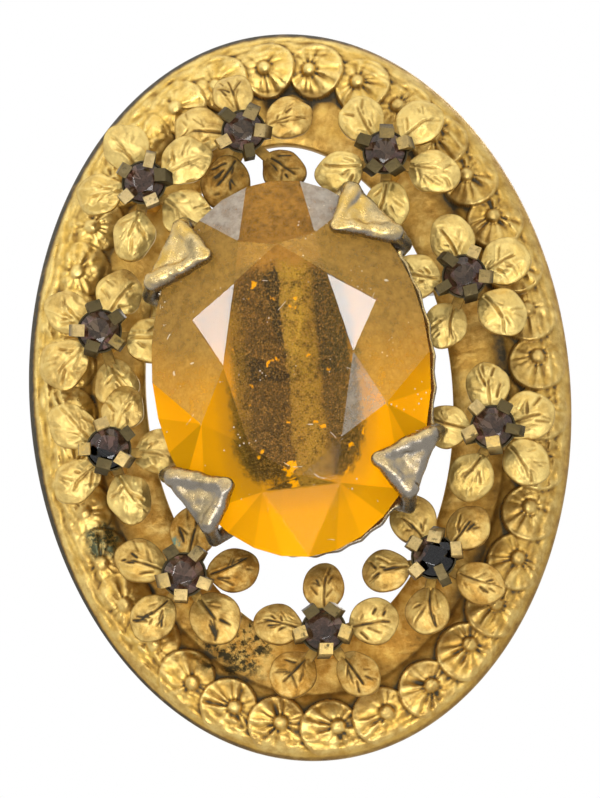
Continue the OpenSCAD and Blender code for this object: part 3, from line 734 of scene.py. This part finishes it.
class BROOCH_OT_border(bpy.types.Operator):
    """Stamp the oval border with its ring of lapping scallops"""

    bl_idname = "brooch.border"
    bl_label = "Border"
    bl_options = {"REGISTER", "UNDO"}

    def execute(self, context):
        sizes = on_bench(context.scene.brooch_border)
        finish = context.scene.brooch_finish
        half = (border_high - border_low) / 2 / MM
        line = OvalLine(half.x, half.z, sizes.band + sizes.scallop / 2)
        section = border_section(sizes)
        bm = bmesh.new()
        sheet = self.sheet(bm, line, section, SCALLOP_COLUMNS * sizes.scallops, sizes)

        seeds = np.random.RandomState(BORDER_SEED)
        draws = {key: seeds.rand(sizes.scallops) for key in ("bead", "lean", "phase", "depth")}
        pitch = line.length / sizes.scallops
        relief = scallop_relief(sheet.along, sheet.inset, sheet.turn, pitch, sizes, draws)
        pressed_through = 0.75 * relief * (sheet.level > 0.01)
        sheet.places[:, 2] += np.where(sheet.front, relief, pressed_through)
        self.batter(sheet, sizes)

        wear = self.wear(sheet, self.drop(sheet, section, sizes), sizes)
        layers = [bm.verts.layers.float.new(name) for name in wear]
        for vert, place, *values in zip(bm.verts, sheet.places, *wear.values()):
            vert.co = place
            for layer, value in zip(layers, values):
                vert[layer] = value
        bmesh.ops.remove_doubles(bm, verts=bm.verts, dist=0.0001)
        bmesh.ops.recalc_face_normals(bm, faces=bm.faces)
        gilt = aged_gilt("aged_gilt_border", finish, spots=(
            (finish.green_film, -13.6, -8.8, 1.5, 0.5),
            (finish.tarnish, -5.6, -16.4, 3.0, 1.0),
        ))
        add_piece("scallop_border", bm, [gilt], "gilt_border", "brooch", "border")
        return {"FINISHED"}

    def sheet(self, bm, line, section, columns, sizes):
        """A flat sheet, one column to each step along the oval, and where its verts go when it is
        rolled into the closed section"""
        rows = len(section)
        bmesh.ops.create_grid(bm, x_segments=columns, y_segments=rows, size=0.5)
        flat = np.array([vert.co for vert in bm.verts]) + 0.5
        column = np.round(flat[:, 0] * columns).astype(int) % columns
        row = np.round(flat[:, 1] * rows).astype(int) % rows
        inset, level = section[row].T
        along = column / columns * line.length
        turn = line.turn_at(along)
        return SimpleNamespace(
            column=column, row=row, columns=columns, inset=inset, level=level, along=along, turn=turn,
            front=level > dome_height(inset, sizes) - sizes.metal / 2,
            places=np.column_stack([line.at(turn, inset), level]),
        )

    def batter(self, sheet, sizes):
        """Dents the front, most where it is rubbed, and streaks the scallops' outer sides"""
        inset, turn, places = sheet.inset, sheet.turn, sheet.places
        outer_side = smooth_step(0.3, 0.8, inset) * (1 - smooth_step(1.6, 2.6, inset))
        on_scallops = smooth_step(0.3, 1.0, inset) * (1 - smooth_step(3.6, 4.4, inset))
        streaks = sizes.streak * outer_side
        dents = sizes.dent + sizes.rubbed_dent * rubbing(turn) * on_scallops
        for k in np.flatnonzero(sheet.front & (inset > 0.05)):
            spot = Vector((*places[k, :2], 0))
            uneven = noise.noise(spot * 0.7) + 0.7 * noise.noise(spot * 1.5) + 0.25 * noise.noise(spot * 3.5)
            slanted = turn[k] + 0.05 * inset[k]
            ring = Vector((20 * math.cos(slanted), 20 * math.sin(slanted), 3.6 * inset[k]))
            places[k, 2] += dents[k] * uneven + streaks[k] * noise.noise(ring)

    def drop(self, sheet, section, sizes):
        """How far each vert of the front lies below its surroundings"""
        heights = np.zeros((sheet.columns, len(section)))
        heights[sheet.column, sheet.row] = sheet.places[:, 2]
        front = np.flatnonzero(section[:, 1] > dome_height(section[:, 0], sizes) - sizes.metal / 2)
        drop = np.zeros_like(heights)
        drop[:, front] = surroundings_height(heights[:, front], 5) - heights[:, front]
        return drop[sheet.column, sheet.row] * smooth_step(0.05, 0.5, sheet.inset)

    def wear(self, sheet, drop, sizes):
        """Recesses darkened as grime and painted shade, painted shade along the outer edge, on the right
        side and under the leaves, rubbed crests and coppery warmth, for the material
        """
        inset, right = sheet.inset, np.sin(sheet.turn)
        foot = sizes.band + sizes.scallop
        # The outer edge is painted dark as the shade on its side wall, more widely so at the upper left
        dark_side = 0.45 + 0.55 * smooth_step(-0.4, 0.4, -np.sin(sheet.turn - 0.35))
        upper_left = smooth_step(0.0, 0.8, np.cos(sheet.turn + 0.8))
        edge = dark_side * (1 - smooth_step(0.06 + 0.14 * upper_left, 0.22 + 0.4 * upper_left, inset))
        # The right side is painted darker with the brown film colour, as painted shade
        film_and_painted_light = 0.26 * smooth_step(0.1, 0.9, right) * (1 - 0.7 * smooth_step(3.8, 4.6, inset))
        # Painted shadow of the leaves lies along the scallops' feet, most of it on the right
        leaf_shadow = smooth_step(foot - 0.5, foot - 0.1, inset)
        leaf_shadow *= 1 - smooth_step(foot + 0.1, foot + 1.2, inset)
        leaf_shadow *= 0.3 + 0.25 * right ** 2 + 0.12 * right + 0.2 * np.sin(9 * sheet.turn)
        # How far a vert lies below its surroundings darkens it, as grime and painted shade in the hollows
        recess = np.maximum(np.maximum(np.clip(drop / 0.16, film_and_painted_light, 1), edge), leaf_shadow)
        warmth = 0.12 + 0.5 * smooth_step(foot - 0.4, foot + 0.4, inset)
        warmth += 0.15 * smooth_step(-0.2, 1, right) + 0.4 * smooth_step(0.1, 0.8, -np.cos(sheet.turn - 0.2))
        return {
            "recess": np.where(sheet.front, recess, 0.3),
            "crest": np.clip(-drop / 0.12, 0, 0.8),
            "warmth": warmth,
        }


# Wreath


def leaf_strokes(u, v, draw):
    """Engraved strokes of a leaf, as the depth of their grooves and of the raised edges beside them:
    a main vein from the stalk, and short strokes on both sides of it"""
    strokes = [(-0.95, 0.0, draw.uniform(-0.12, 0.12), draw.uniform(1.1, 1.75), draw.uniform(0.7, 1.1))]
    for k in range(draw.randint(6, 10)):
        side = 1 if k % 2 else -1
        start = (draw.uniform(-0.75, 0.5), side * draw.uniform(0.02, 0.35))
        slant = side * draw.uniform(0.15, 1.15)
        strokes.append((*start, slant, draw.uniform(0.3, 0.8), draw.uniform(0.3, 1.0)))
    groove = np.zeros_like(u)
    ridge = np.zeros_like(u)
    for start_u, start_v, slant, reach, depth in strokes:
        ahead = (u - start_u) * math.cos(slant) + (v - start_v) * math.sin(slant)
        beside = (v - start_v) * math.cos(slant) - (u - start_u) * math.sin(slant)
        beside += draw.uniform(-0.22, 0.22) * ahead ** 2
        inked = depth * smooth_step(-0.06, 0.06, ahead) * (1 - smooth_step(reach - 0.2, reach, ahead))
        groove = np.maximum(groove, inked * np.exp(-(beside / 0.042) ** 2))
        ridge = np.maximum(ridge, inked * np.exp(-((np.abs(beside) - 0.12) / 0.05) ** 2))
    return groove, ridge


def shape_leaf(verts, sizes, recess_layer, crest_layer, crumple, draw):
    """Bends a flat grid of verts, from -1 to 1 with its stalk at -x, into a veined round leaf"""
    radius = sizes.leaf / 2
    x, y = np.array([vert.co.xy for vert in verts]).T
    # The square becomes a disc, with an outline that has a blunt tip and a broad stalk end
    u = x * np.sqrt(1 - y * y / 2)
    v = y * np.sqrt(1 - x * x / 2)
    q = np.hypot(u, v)
    heading = np.arctan2(v, u)
    wave, lobe, fold_from = draw.uniform(0, 6.28, 3)
    outline = 1 + 0.05 * np.maximum(0, np.cos(heading)) ** 6 + 0.1 * np.maximum(0, -np.cos(heading)) ** 8
    outline += crumple * (0.025 * np.sin(3 * heading + wave) + 0.018 * np.sin(5 * heading + lobe))
    groove, ridge = leaf_strokes(u, v, draw)
    groove *= 1 - smooth_step(0.85, 0.97, q)
    # Dents and folds, and a crease along a bent middle line
    bent = v - draw.uniform(-0.16, 0.16) * np.sin(2.2 * u)
    shift = Vector(draw.uniform(-50, 50, 3))
    spots = [Vector((a, b, 0)) for a, b in zip(u, v)]
    dents = np.array([noise.noise(p * 1.4 + shift) + 0.45 * noise.noise(p * 3.6 + shift) for p in spots])
    folds = draw.uniform(3, 5) * bent + draw.uniform(-1.2, 1.2) * u + 1.5 * dents + fold_from
    folds = np.abs(np.sin(folds))
    height = sizes.dome * (1 - q ** 2.4)
    height += draw.uniform(-0.25, 0.35) * radius * 0.3 * (np.abs(bent) - 0.35)
    height += draw.uniform(-0.25, 0.12) * u * np.abs(u)
    height += crumple * (sizes.crumple * dents - sizes.fold * folds)
    height += sizes.vein * (0.4 * ridge - groove)
    # Strokes and dents are darkened as grime and painted shade, the edge as painted shade, the middle under
    # a film, and folds are rubbed
    recess = groove + 0.5 * np.maximum(0, -dents - 0.25) + 0.4 * smooth_step(0.92, 1.0, q)
    recess += 0.3 * (1 - smooth_step(0.3, 0.8, q)) * smooth_step(-0.1, 0.35, dents)
    crest = 0.7 * smooth_step(0.25, 0.0, folds) * min(crumple, 1) + 0.6 * ridge
    crest += 0.5 * smooth_step(0.8, 0.9, q) * (1 - smooth_step(0.92, 0.96, q))
    outline *= draw.uniform(0.9, 1.04)
    width = draw.uniform(0.86, 1.02)
    for k, vert in enumerate(verts):
        vert[recess_layer] = min(1, recess[k])
        vert[crest_layer] = 0.45 + crest[k]
        vert.co = Vector((u[k] * radius * outline[k], v[k] * radius * outline[k] * width, height[k]))


def node_points(name):
    """Vertices of a frame node, on the bench"""
    return [TO_BENCH @ vert.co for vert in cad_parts[name].data.vertices]


def leaf_places(flower, centre, leaf):
    """Reach and turn of each of a flower's leaves, read from its frame node"""
    points = [point.xy - centre for point in node_points("leaves_" + flower.name)]
    for k in range(LEAF_COUNT):
        heading = math.radians(flower.turn) + k * 2 * math.pi / LEAF_COUNT
        ahead = Vector((math.cos(heading), math.sin(heading)))
        far = max(p.dot(ahead) for p in points if abs(p.cross(ahead)) < leaf / 12)
        yield far - leaf / 2, heading


class BROOCH_OT_wreath(bpy.types.Operator):
    """Emboss the ten leaf flowers on their posts"""

    bl_idname = "brooch.wreath"
    bl_label = "Wreath"
    bl_options = {"REGISTER", "UNDO"}

    def execute(self, context):
        finish = context.scene.brooch_finish
        gilt = aged_gilt("aged_gilt_leaves", finish, roughness=0.37, grain=0.034, spots=(
            (finish.verdigris, -8.6, -10.0, 0.6, 0.9),
        ))
        sizes = on_bench(context.scene.brooch_leaves)
        for index, flower in enumerate(FLOWERS):
            self.flower(sizes, flower, gilt, np.random.RandomState(LEAF_SEED + index))
        return {"FINISHED"}

    def flower(self, sizes, flower, gilt, draw):
        node_name = "leaves_" + flower.name
        centre = flower_centre(flower)
        plane = bench_box(node_name)[1].z - sizes.dome - sizes.metal
        bm = bmesh.new()
        recess, crest, warmth = [bm.verts.layers.float.new(key) for key in ("recess", "crest", "warmth")]
        for reach, heading in leaf_places(flower, centre, sizes.leaf):
            before = set(bm.verts)
            sheet = bmesh.ops.create_grid(
                bm, x_segments=LEAF_SQUARES, y_segments=LEAF_SQUARES, size=1
            )
            shape_leaf(sheet["verts"], sizes, recess, crest, flower.crumple, draw)
            faces = list({face for vert in sheet["verts"] for face in vert.link_faces})
            bmesh.ops.solidify(bm, geom=faces, thickness=sizes.metal)
            leaf = [vert for vert in bm.verts if vert not in before]
            roll = Matrix.Rotation(draw.uniform(-0.12, 0.12), 4, "X")
            tilt = Matrix.Rotation(draw.uniform(-0.08, 0.16), 4, "Y")
            place = Matrix.Translation((*centre, plane + sizes.metal)) @ Matrix.Rotation(heading, 4, "Z")
            swing = Matrix.Rotation(draw.uniform(-0.08, 0.08), 4, "Z")
            out = place @ swing @ Matrix.Translation((reach - draw.uniform(0, 0.2), 0, 0)) @ tilt @ roll
            bmesh.ops.transform(bm, matrix=out, verts=leaf)
            warm = flower.warmth * draw.uniform(0.5, 1.5)
            burnt = any((out.translation.xy - Vector(spot)).length < sizes.leaf / 2 for spot in BURNT_LEAVES)
            for vert in leaf:
                vert[warmth] = 1.0 if burnt else warm
                vert[recess] = 0.25 + vert[recess] if burnt else vert[recess] * flower.grime
            self.stalk(bm, place, reach - 0.35 * sizes.leaf, sizes)
        self.post(bm, node_name, centre, plane, sizes)
        add_piece("leaf_flower_" + flower.name, bm, [gilt], "gilt_leaves", "brooch", node_name)

    def stalk(self, bm, place, run, sizes):
        """Flat stalk from the flower's centre to a leaf"""
        size = Matrix.Diagonal((run, sizes.stalk, sizes.metal, 1))
        cube = bmesh.ops.create_cube(
            bm, size=1, matrix=place @ Matrix.Translation((run / 2, 0, -sizes.metal / 2)) @ size
        )
        for vert in cube["verts"]:
            vert[bm.verts.layers.float["recess"]] = 0.5
        edges = list({edge for vert in cube["verts"] for edge in vert.link_edges})
        bmesh.ops.bevel(
            bm, geom=edges, offset=0.08, affect="EDGES", segments=2, profile=0.5, material=-1
        )

    def post(self, bm, node_name, centre, plane, sizes):
        """Post on the ledge, the arm to the flower's centre and the seat under the cup"""
        points = node_points(node_name)
        foot_z = min(p.z for p in points)
        feet = [p.xy for p in points if p.z < foot_z + 0.01]
        foot = sum(feet, Vector((0, 0))) / len(feet)
        radius = max((p - foot).length for p in feet)
        top = plane + sizes.metal
        for spot, low, high in ((foot, foot_z, top), (centre, plane, plane + sizes.dome + sizes.metal)):
            bmesh.ops.create_cone(
                bm, cap_ends=True, segments=28, radius1=radius, radius2=radius, depth=high - low,
                matrix=Matrix.Translation((*spot, (low + high) / 2)),
            )
        arm = foot - centre
        heading = math.atan2(arm.y, arm.x)
        place = Matrix.Translation((*centre, top)) @ Matrix.Rotation(heading, 4, "Z")
        self.stalk(bm, place, max(arm.length, 0.2), sizes)


class BROOCH_OT_cups(bpy.types.Operator):
    """Round the prongs of the ten cups"""

    bl_idname = "brooch.cups"
    bl_label = "Cups"
    bl_options = {"REGISTER", "UNDO"}

    def execute(self, context):
        sizes = on_bench(context.scene.brooch_setting)
        metal = prong_metal("prong_metal", context.scene.brooch_finish)
        for index, flower in enumerate(FLOWERS):
            name = "cup_" + flower.name
            bm = bench_copy(name)
            round_edges(bm, sizes.cup_edge, 35, 3)
            draw = np.random.RandomState(PRONG_SEED + index)
            bends = draw.uniform(-1, 1, (LEAF_COUNT, 4))
            self.bend_prongs(bm, sizes, flower, bends)
            add_piece("prong_" + name, bm, [metal], "gilt_setting", "brooch", name, sharp=40)
        return {"FINISHED"}

    def bend_prongs(self, bm, sizes, flower, bends):
        """Spreads and bends each prong by its own amounts, and blackens some of them. Levels are shares
        of the cup's height"""
        recess = bm.verts.layers.float.new("recess")
        low, high = bench_box("cup_" + flower.name)
        stone_low, stone_high = bench_box("chaton_" + flower.name)
        tip = sizes.prong_tip * (stone_high.x - stone_low.x) / 2
        centre = flower_centre(flower)
        turn = math.radians(flower.turn)
        for vert in bm.verts:
            level = (vert.co.z - low.z) / (high.z - low.z)
            arm = vert.co.xy - centre
            heading = math.atan2(arm.y, arm.x) - turn
            prong = int(heading / (2 * math.pi) * LEAF_COUNT + 2 * LEAF_COUNT) % LEAF_COUNT
            sideways, outwards, raised, broad = bends[prong]
            clean = (1 + raised) / 2
            dirt = 0.12 + 0.8 * float(smooth_step(-0.15, 0.15, flower.dirt - clean))
            vert[recess] = max(dirt, 1 - float(smooth_step(0.72, 0.84, level)))
            bend = sizes.prong_bend * float(smooth_step(0.74, 1.0, level))
            top = float(smooth_step(0.6, 0.85, level))
            prong_turn = turn + (prong + 0.5) * 2 * math.pi / LEAF_COUNT
            out = Vector((math.cos(prong_turn), math.sin(prong_turn), 0))
            across = Vector((-out.y, out.x, 0))
            widen = (sizes.prong_widen - 0.25 * broad) * top * arm.dot(across.xy)
            reach = (sizes.prong_reach + 0.3 * broad) * top * max(0, arm.dot(out.xy) - tip)
            vert.co += across * (sideways * bend + widen)
            vert.co += out * (outwards * bend + sizes.prong_spread * top + reach)
            vert.co.z = min(vert.co.z + abs(raised) * bend / 2, high.z)


# Stones


def facet_look(normal, finish):
    """Sheen of a crown facet, and its film of dust and painted reflection as colour and amount. The two
    upper side facets next to the table are bright with full sheen, those near the stone's top edge
    grey with a painted reflection of the room above, the rest carry a tan film that is partly dust
    and partly painted reflection, and the lower ones are clear, their sheen cut as painted shade, as
    if the room below were dark"""
    heading = math.degrees(math.atan2(normal.y, abs(normal.x)))
    next_to_table = normal.z > BESIDE_TABLE
    if normal.z > 0.99:
        return 0.3, (0, 0, 0, 0)
    if next_to_table and 0 < heading < 30:
        return 1.0, (0, 0, 0, 0)
    if next_to_table and -30 < heading < 0 and normal.x > 0:
        return 0.5, (*finish.grey_veil[:3], 0.35)
    if heading < -2:
        return 0.1, (0, 0, 0, 0)
    if normal.y > 0.32 and abs(normal.x) > 0.1:
        return 1.0, (*finish.grey_veil[:3], 0.6)
    if normal.y > 0.3:
        return 0.2, (*finish.dust_and_reflection[:3], 0.06)
    return 0.3, (*finish.dust_and_reflection[:3], 0.42)


def painted_facet_light(normal):
    """Painted light of a facet from 0 to 1, standing for how bright the surroundings it mirrors are.
    Lower crown facets side by side get unlike values, the side and upper ones are duller, and the
    back's values follow its eight sides"""
    heading = math.degrees(math.atan2(normal.y, normal.x))
    if normal.z < 0:
        return round(heading / 45) * 0.618 % 1
    if normal.y < -0.02:
        return 0.1 + 0.9 * (round(heading / 7.5) * 0.618 % 1)
    return 1 if normal.z > BESIDE_TABLE or normal.y > 0.3 else 0.45


def cut_stone(name, node_name, slot, glass, foil, edge, seed, finish=None):
    """A cut stone with worn facet edges and foil on its back facets. Each facet has its painted light,
    drawn at random unless a finish is given. With a finish, its upper facets are veiled with dust
    and painted reflection"""
    bm = bench_copy(node_name)
    draw = np.random.RandomState(seed)
    tone = bm.faces.layers.float.new("tone")
    sheen = bm.faces.layers.float.new("sheen")
    dust_and_reflection = bm.faces.layers.float_color.new("dust_and_reflection")
    for face in bm.faces:
        # Painted light of each facet, at random unless the finish gives it
        face[tone] = draw.uniform(0, 1)
        face[sheen], face[dust_and_reflection] = (1.0, (0, 0, 0, 0))
        if finish:
            face[tone] = painted_facet_light(face.normal)
            face[sheen], face[dust_and_reflection] = facet_look(face.normal, finish)
    round_edges(bm, edge, 2, 1)
    for face in bm.faces:
        face.material_index = int(face.normal.z < -0.05)
    piece = add_piece(name, bm, [glass, foil], slot, "brooch", node_name)
    piece.data.shade_flat()
    return piece


class BROOCH_OT_stones(bpy.types.Operator):
    """Cut the centre stone and the ten small stones"""

    bl_idname = "brooch.stones"
    bl_label = "Stones"
    bl_options = {"REGISTER", "UNDO"}

    def execute(self, context):
        sizes = on_bench(context.scene.brooch_setting)
        finish = context.scene.brooch_finish
        amber = cut_glass("amber_glass", finish.amber, 1.0)
        cut_stone("amber_stone", "centre_stone", "amber_glass", amber,
                  stone_foil("amber_foil", finish), sizes.facet_edge, STONE_SEED, finish)
        smoke = cut_glass("smoky_glass", finish.smoke, 0.0)
        dark = smoke_foil("smoky_foil", finish)
        for index, flower in enumerate(FLOWERS):
            cut_stone("smoky_stone_" + flower.name, "chaton_" + flower.name, "smoky_glass", smoke, dark,
                      sizes.chaton_edge, CHATON_SEED + index)
        return {"FINISHED"}


class BROOCH_OT_setting(bpy.types.Operator):
    """Cast the centre setting with its soft-edged claws"""

    bl_idname = "brooch.setting"
    bl_label = "Setting"
    bl_options = {"REGISTER", "UNDO"}

    def execute(self, context):
        sizes = on_bench(context.scene.brooch_setting)
        finish = context.scene.brooch_finish
        stone_low, stone_high = bench_box("centre_stone")
        stone = (stone_low + stone_high) / 2
        half = (stone_high - stone_low) / 2
        girdle = stone_high.z - sizes.crown
        top = bench_box("centre_setting")[1].z
        bm = bench_copy("centre_setting")
        self.webs(bm, stone, girdle, sizes)
        bm = self.cast(context, bm, sizes.cast_grain)
        recess = bm.verts.layers.float.new("recess")
        for vert in bm.verts:
            within = 1 - math.hypot((vert.co.x - stone.x) / half.x, (vert.co.y - stone.y) / half.y)
            # Painted shade: the setting is darkened below the stone's girdle, most at the claws' outer ends
            outer_end = 0.3 + 0.7 * float(smooth_step(0.03, 0.08, -within))
            vert[recess] = outer_end * (1 - float(smooth_step(girdle - 0.2, girdle + 0.9, vert.co.z)))
            claw = float(smooth_step(girdle, girdle + 1, vert.co.z))
            uneven = noise.noise(vert.co * 0.9) + 0.5 * noise.noise(vert.co * 2)
            vert.co += vert.normal * claw * (sizes.swell + sizes.dent * uneven)
            vert.co.z = min(vert.co.z, top)
            # The rim keeps clear of the stone's underside
            under = girdle - sizes.seat - within * half.x / 2
            if within > -0.01 and under < vert.co.z < girdle + sizes.seat:
                vert.co.z = under
        add_piece("claw_setting", bm, [claw_metal("claw_metal", finish)], "gilt_setting", "brooch",
                  "centre_setting")
        return {"FINISHED"}

    def cast(self, context, bm, grain):
        """Melts a bench mesh into one solid with soft edges"""
        rough = bpy.data.meshes.new("setting_rough")
        bm.to_mesh(rough)
        bm.free()
        block = bpy.data.objects.new("setting_cast", rough)
        context.scene.collection.objects.link(block)
        remesh = block.modifiers.new("cast", "REMESH")
        remesh.mode = "VOXEL"
        remesh.voxel_size = grain
        soften = block.modifiers.new("soften", "SMOOTH")
        soften.factor = 0.5
        soften.iterations = 3
        graph = context.evaluated_depsgraph_get()
        solid = bmesh.new()
        solid.from_mesh(block.evaluated_get(graph).to_mesh())
        bpy.data.objects.remove(block)
        bpy.data.meshes.remove(rough)
        solid.normal_update()
        return solid

    def webs(self, bm, stone, girdle, sizes):
        """Fills each claw between its two arms"""
        claws = {}
        for vert in bm.verts:
            if vert.co.z > girdle + sizes.web:
                claws.setdefault((vert.co.x > stone.x, vert.co.y > stone.y), []).append(vert.co.copy())
        for points in claws.values():
            sunk = Vector((0, 0, -sizes.web_sink))
            verts = [bm.verts.new(point + sunk) for point in points]
            hull = bmesh.ops.convex_hull(bm, input=verts)
            loose = {item for key in ("geom_interior", "geom_unused") for item in hull[key]}
            bmesh.ops.delete(bm, geom=[v for v in verts if v in loose], context="VERTS")


class BROOCH_OT_fittings(bpy.types.Operator):
    """Finish the pin, its hinge, the back bar and the catch"""

    bl_idname = "brooch.fittings"
    bl_label = "Pin fittings"
    bl_options = {"REGISTER", "UNDO"}

    def execute(self, context):
        sizes = on_bench(context.scene.brooch_setting)
        finish = context.scene.brooch_finish
        brass = aged_gilt("aged_brass", finish, roughness=0.32, tarnish=0.6)
        steel = drawn_steel("drawn_steel", finish)
        pieces = [(name, brass, "back_fittings", "brooch") for name in BACK_NODES]
        pieces += [
            ("catch_sleeve", brass, "back_fittings", "sleeve"),
            ("pin_stem", steel, "pin_steel", "pin"),
        ]
        for name, metal, slot, body in pieces:
            bm = bench_copy(name)
            round_edges(bm, sizes.fitting_edge, 40, 2)
            add_piece("soft_" + name, bm, [metal], slot, body, name, sharp=35)
        return {"FINISHED"}


# Stage

# Lamps: name, direction from the brooch in the frame, distance and size in metres, and brightness
LAMPS = (
    ("lamp_left", (-0.45, -0.83, 0.32), 0.30, 0.034, 12.5),
    ("lamp_right", (0.35, -0.88, 0.33), 0.30, 0.026, 15),
    ("lamp_low", (0.05, -0.9, -0.42), 0.30, 0.17, 6.9),
    ("lamp_top", (0.0, -0.58, 0.81), 0.35, 0.22, 0.6),
    ("lamp_back", (0.3, 0.8, 0.5), 0.35, 0.12, 6),
)


class BROOCH_OT_stage(bpy.types.Operator):
    """Set the floor, lamps, white surroundings and camera"""

    bl_idname = "brooch.stage"
    bl_label = "Stage"
    bl_options = {"REGISTER", "UNDO"}

    def execute(self, context):
        stage = context.scene.brooch_stage
        self.surroundings(context.scene, stage)
        self.floor(context.scene, stage)
        for lamp in LAMPS:
            self.lamp(context.scene, *lamp)
        self.camera(context.scene, stage)
        context.scene.view_settings.view_transform = "Standard"
        return {"FINISHED"}

    def surroundings(self, scene, stage):
        """White all round where it is seen or mirrored, and softer as light"""
        world = bpy.data.worlds.new("white_surroundings")
        world.use_nodes = True
        tree = world.node_tree
        tree.nodes.clear()
        strength = self.seen_or_mirrored(tree, stage.fill)
        white = node(tree, "ShaderNodeBackground", {"Color": (1, 1, 1, 1), "Strength": strength})
        node(tree, "ShaderNodeOutputWorld", {"Surface": white.outputs[0]})
        scene.world = world

    def seen_or_mirrored(self, tree, otherwise):
        """1 for camera, glossy and transmitted rays, and another value for the rest"""
        path = node(tree, "ShaderNodeLightPath")
        seen = math_node(tree, "MAXIMUM", path.outputs["Is Camera Ray"], path.outputs["Is Glossy Ray"])
        seen = math_node(tree, "MAXIMUM", seen, path.outputs["Is Transmission Ray"])
        return span(tree, seen, 0, 1, otherwise, 1)

    def floor(self, scene, stage):
        """Pale floor that keeps the brooch's shadow"""
        bm = bmesh.new()
        bmesh.ops.create_grid(bm, x_segments=1, y_segments=1, size=3)
        mesh = bpy.data.meshes.new("floor")
        bmesh.ops.translate(bm, verts=bm.verts, vec=(0, 0, middle.z - stage.floor_drop))
        bm.to_mesh(mesh)
        bm.free()
        material, tree, _ = new_material("pale_floor")
        pale = diffuse(tree, (0.86, 0.86, 0.86, 1))
        white = node(tree, "ShaderNodeEmission", {"Color": (1, 1, 1, 1), "Strength": 1.0})
        seen = times(tree, self.seen_or_mirrored(tree, 0), stage.floor_white)
        surface(tree, mix_shader(tree, seen, pale, white.outputs[0]))
        mesh.materials.append(material)
        floor = bpy.data.objects.new("floor", mesh)
        scene.collection.objects.link(floor)

    def lamp(self, scene, name, direction, distance, size, brightness):
        """Square soft lamp aimed at the brooch, with its brightness against white"""
        light = bpy.data.lights.new(name, "AREA")
        light.size = size
        light.energy = brightness * math.pi * size * size
        lamp = bpy.data.objects.new(name, light)
        away = Vector(direction).normalized()
        stone_low, stone_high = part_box("centre_stone")
        lamp.location = (stone_low + stone_high) / 2 + away * distance
        lamp.rotation_mode = "QUATERNION"
        lamp.rotation_quaternion = away.to_track_quat("Z", "Y")
        scene.collection.objects.link(lamp)

    def camera(self, scene, stage):
        data = bpy.data.cameras.new("camera")
        data.lens = stage.lens
        data.sensor_width = 36
        data.clip_start = 0.01
        camera = bpy.data.objects.new("camera", data)
        back = Vector((
            math.sin(stage.azimuth) * math.cos(stage.elevation),
            -math.cos(stage.azimuth) * math.cos(stage.elevation),
            math.sin(stage.elevation),
        ))
        aim = Vector((middle.x, border_high.y, middle.z + stage.aim))
        camera.location = aim + back * stage.distance
        camera.rotation_mode = "QUATERNION"
        turned = Matrix.Rotation(stage.roll, 3, "Z").to_quaternion()
        camera.rotation_quaternion = (-back).to_track_quat("-Z", "Y") @ turned
        scene.collection.objects.link(camera)
        scene.camera = camera


class BROOCH_PT_panel(bpy.types.Panel):
    """Lists the brooch's pieces"""

    bl_idname = "BROOCH_PT_panel"
    bl_label = "Brooch"
    bl_space_type = "VIEW_3D"
    bl_region_type = "UI"
    bl_category = "Brooch"

    def draw(self, context):
        for operator in OPERATORS:
            self.layout.operator(operator.bl_idname)
        for name in GROUPS:
            box = self.layout.box()
            group = getattr(context.scene, name)
            for prop in group.__annotations__:
                box.prop(group, prop)


GROUPS = {
    "brooch_border": BorderSizes,
    "brooch_leaves": LeafSizes,
    "brooch_setting": SettingSizes,
    "brooch_finish": Finishes,
    "brooch_stage": StageSizes,
}
OPERATORS = (
    BROOCH_OT_border,
    BROOCH_OT_wreath,
    BROOCH_OT_cups,
    BROOCH_OT_stones,
    BROOCH_OT_setting,
    BROOCH_OT_fittings,
    BROOCH_OT_stage,
)
CLASSES = (*GROUPS.values(), *OPERATORS, BROOCH_PT_panel)


def register():
    for cls in CLASSES:
        bpy.utils.register_class(cls)
    for name, group in GROUPS.items():
        setattr(bpy.types.Scene, name, PointerProperty(type=group))


def unregister():
    for name in GROUPS:
        delattr(bpy.types.Scene, name)
    for cls in reversed(CLASSES):
        bpy.utils.unregister_class(cls)


def main():
    """Makes every piece and the stage"""
    register()
    for operator in OPERATORS:
        group, name = operator.bl_idname.split(".")
        getattr(getattr(bpy.ops, group), name)()


if __name__ == "__main__":
    main()
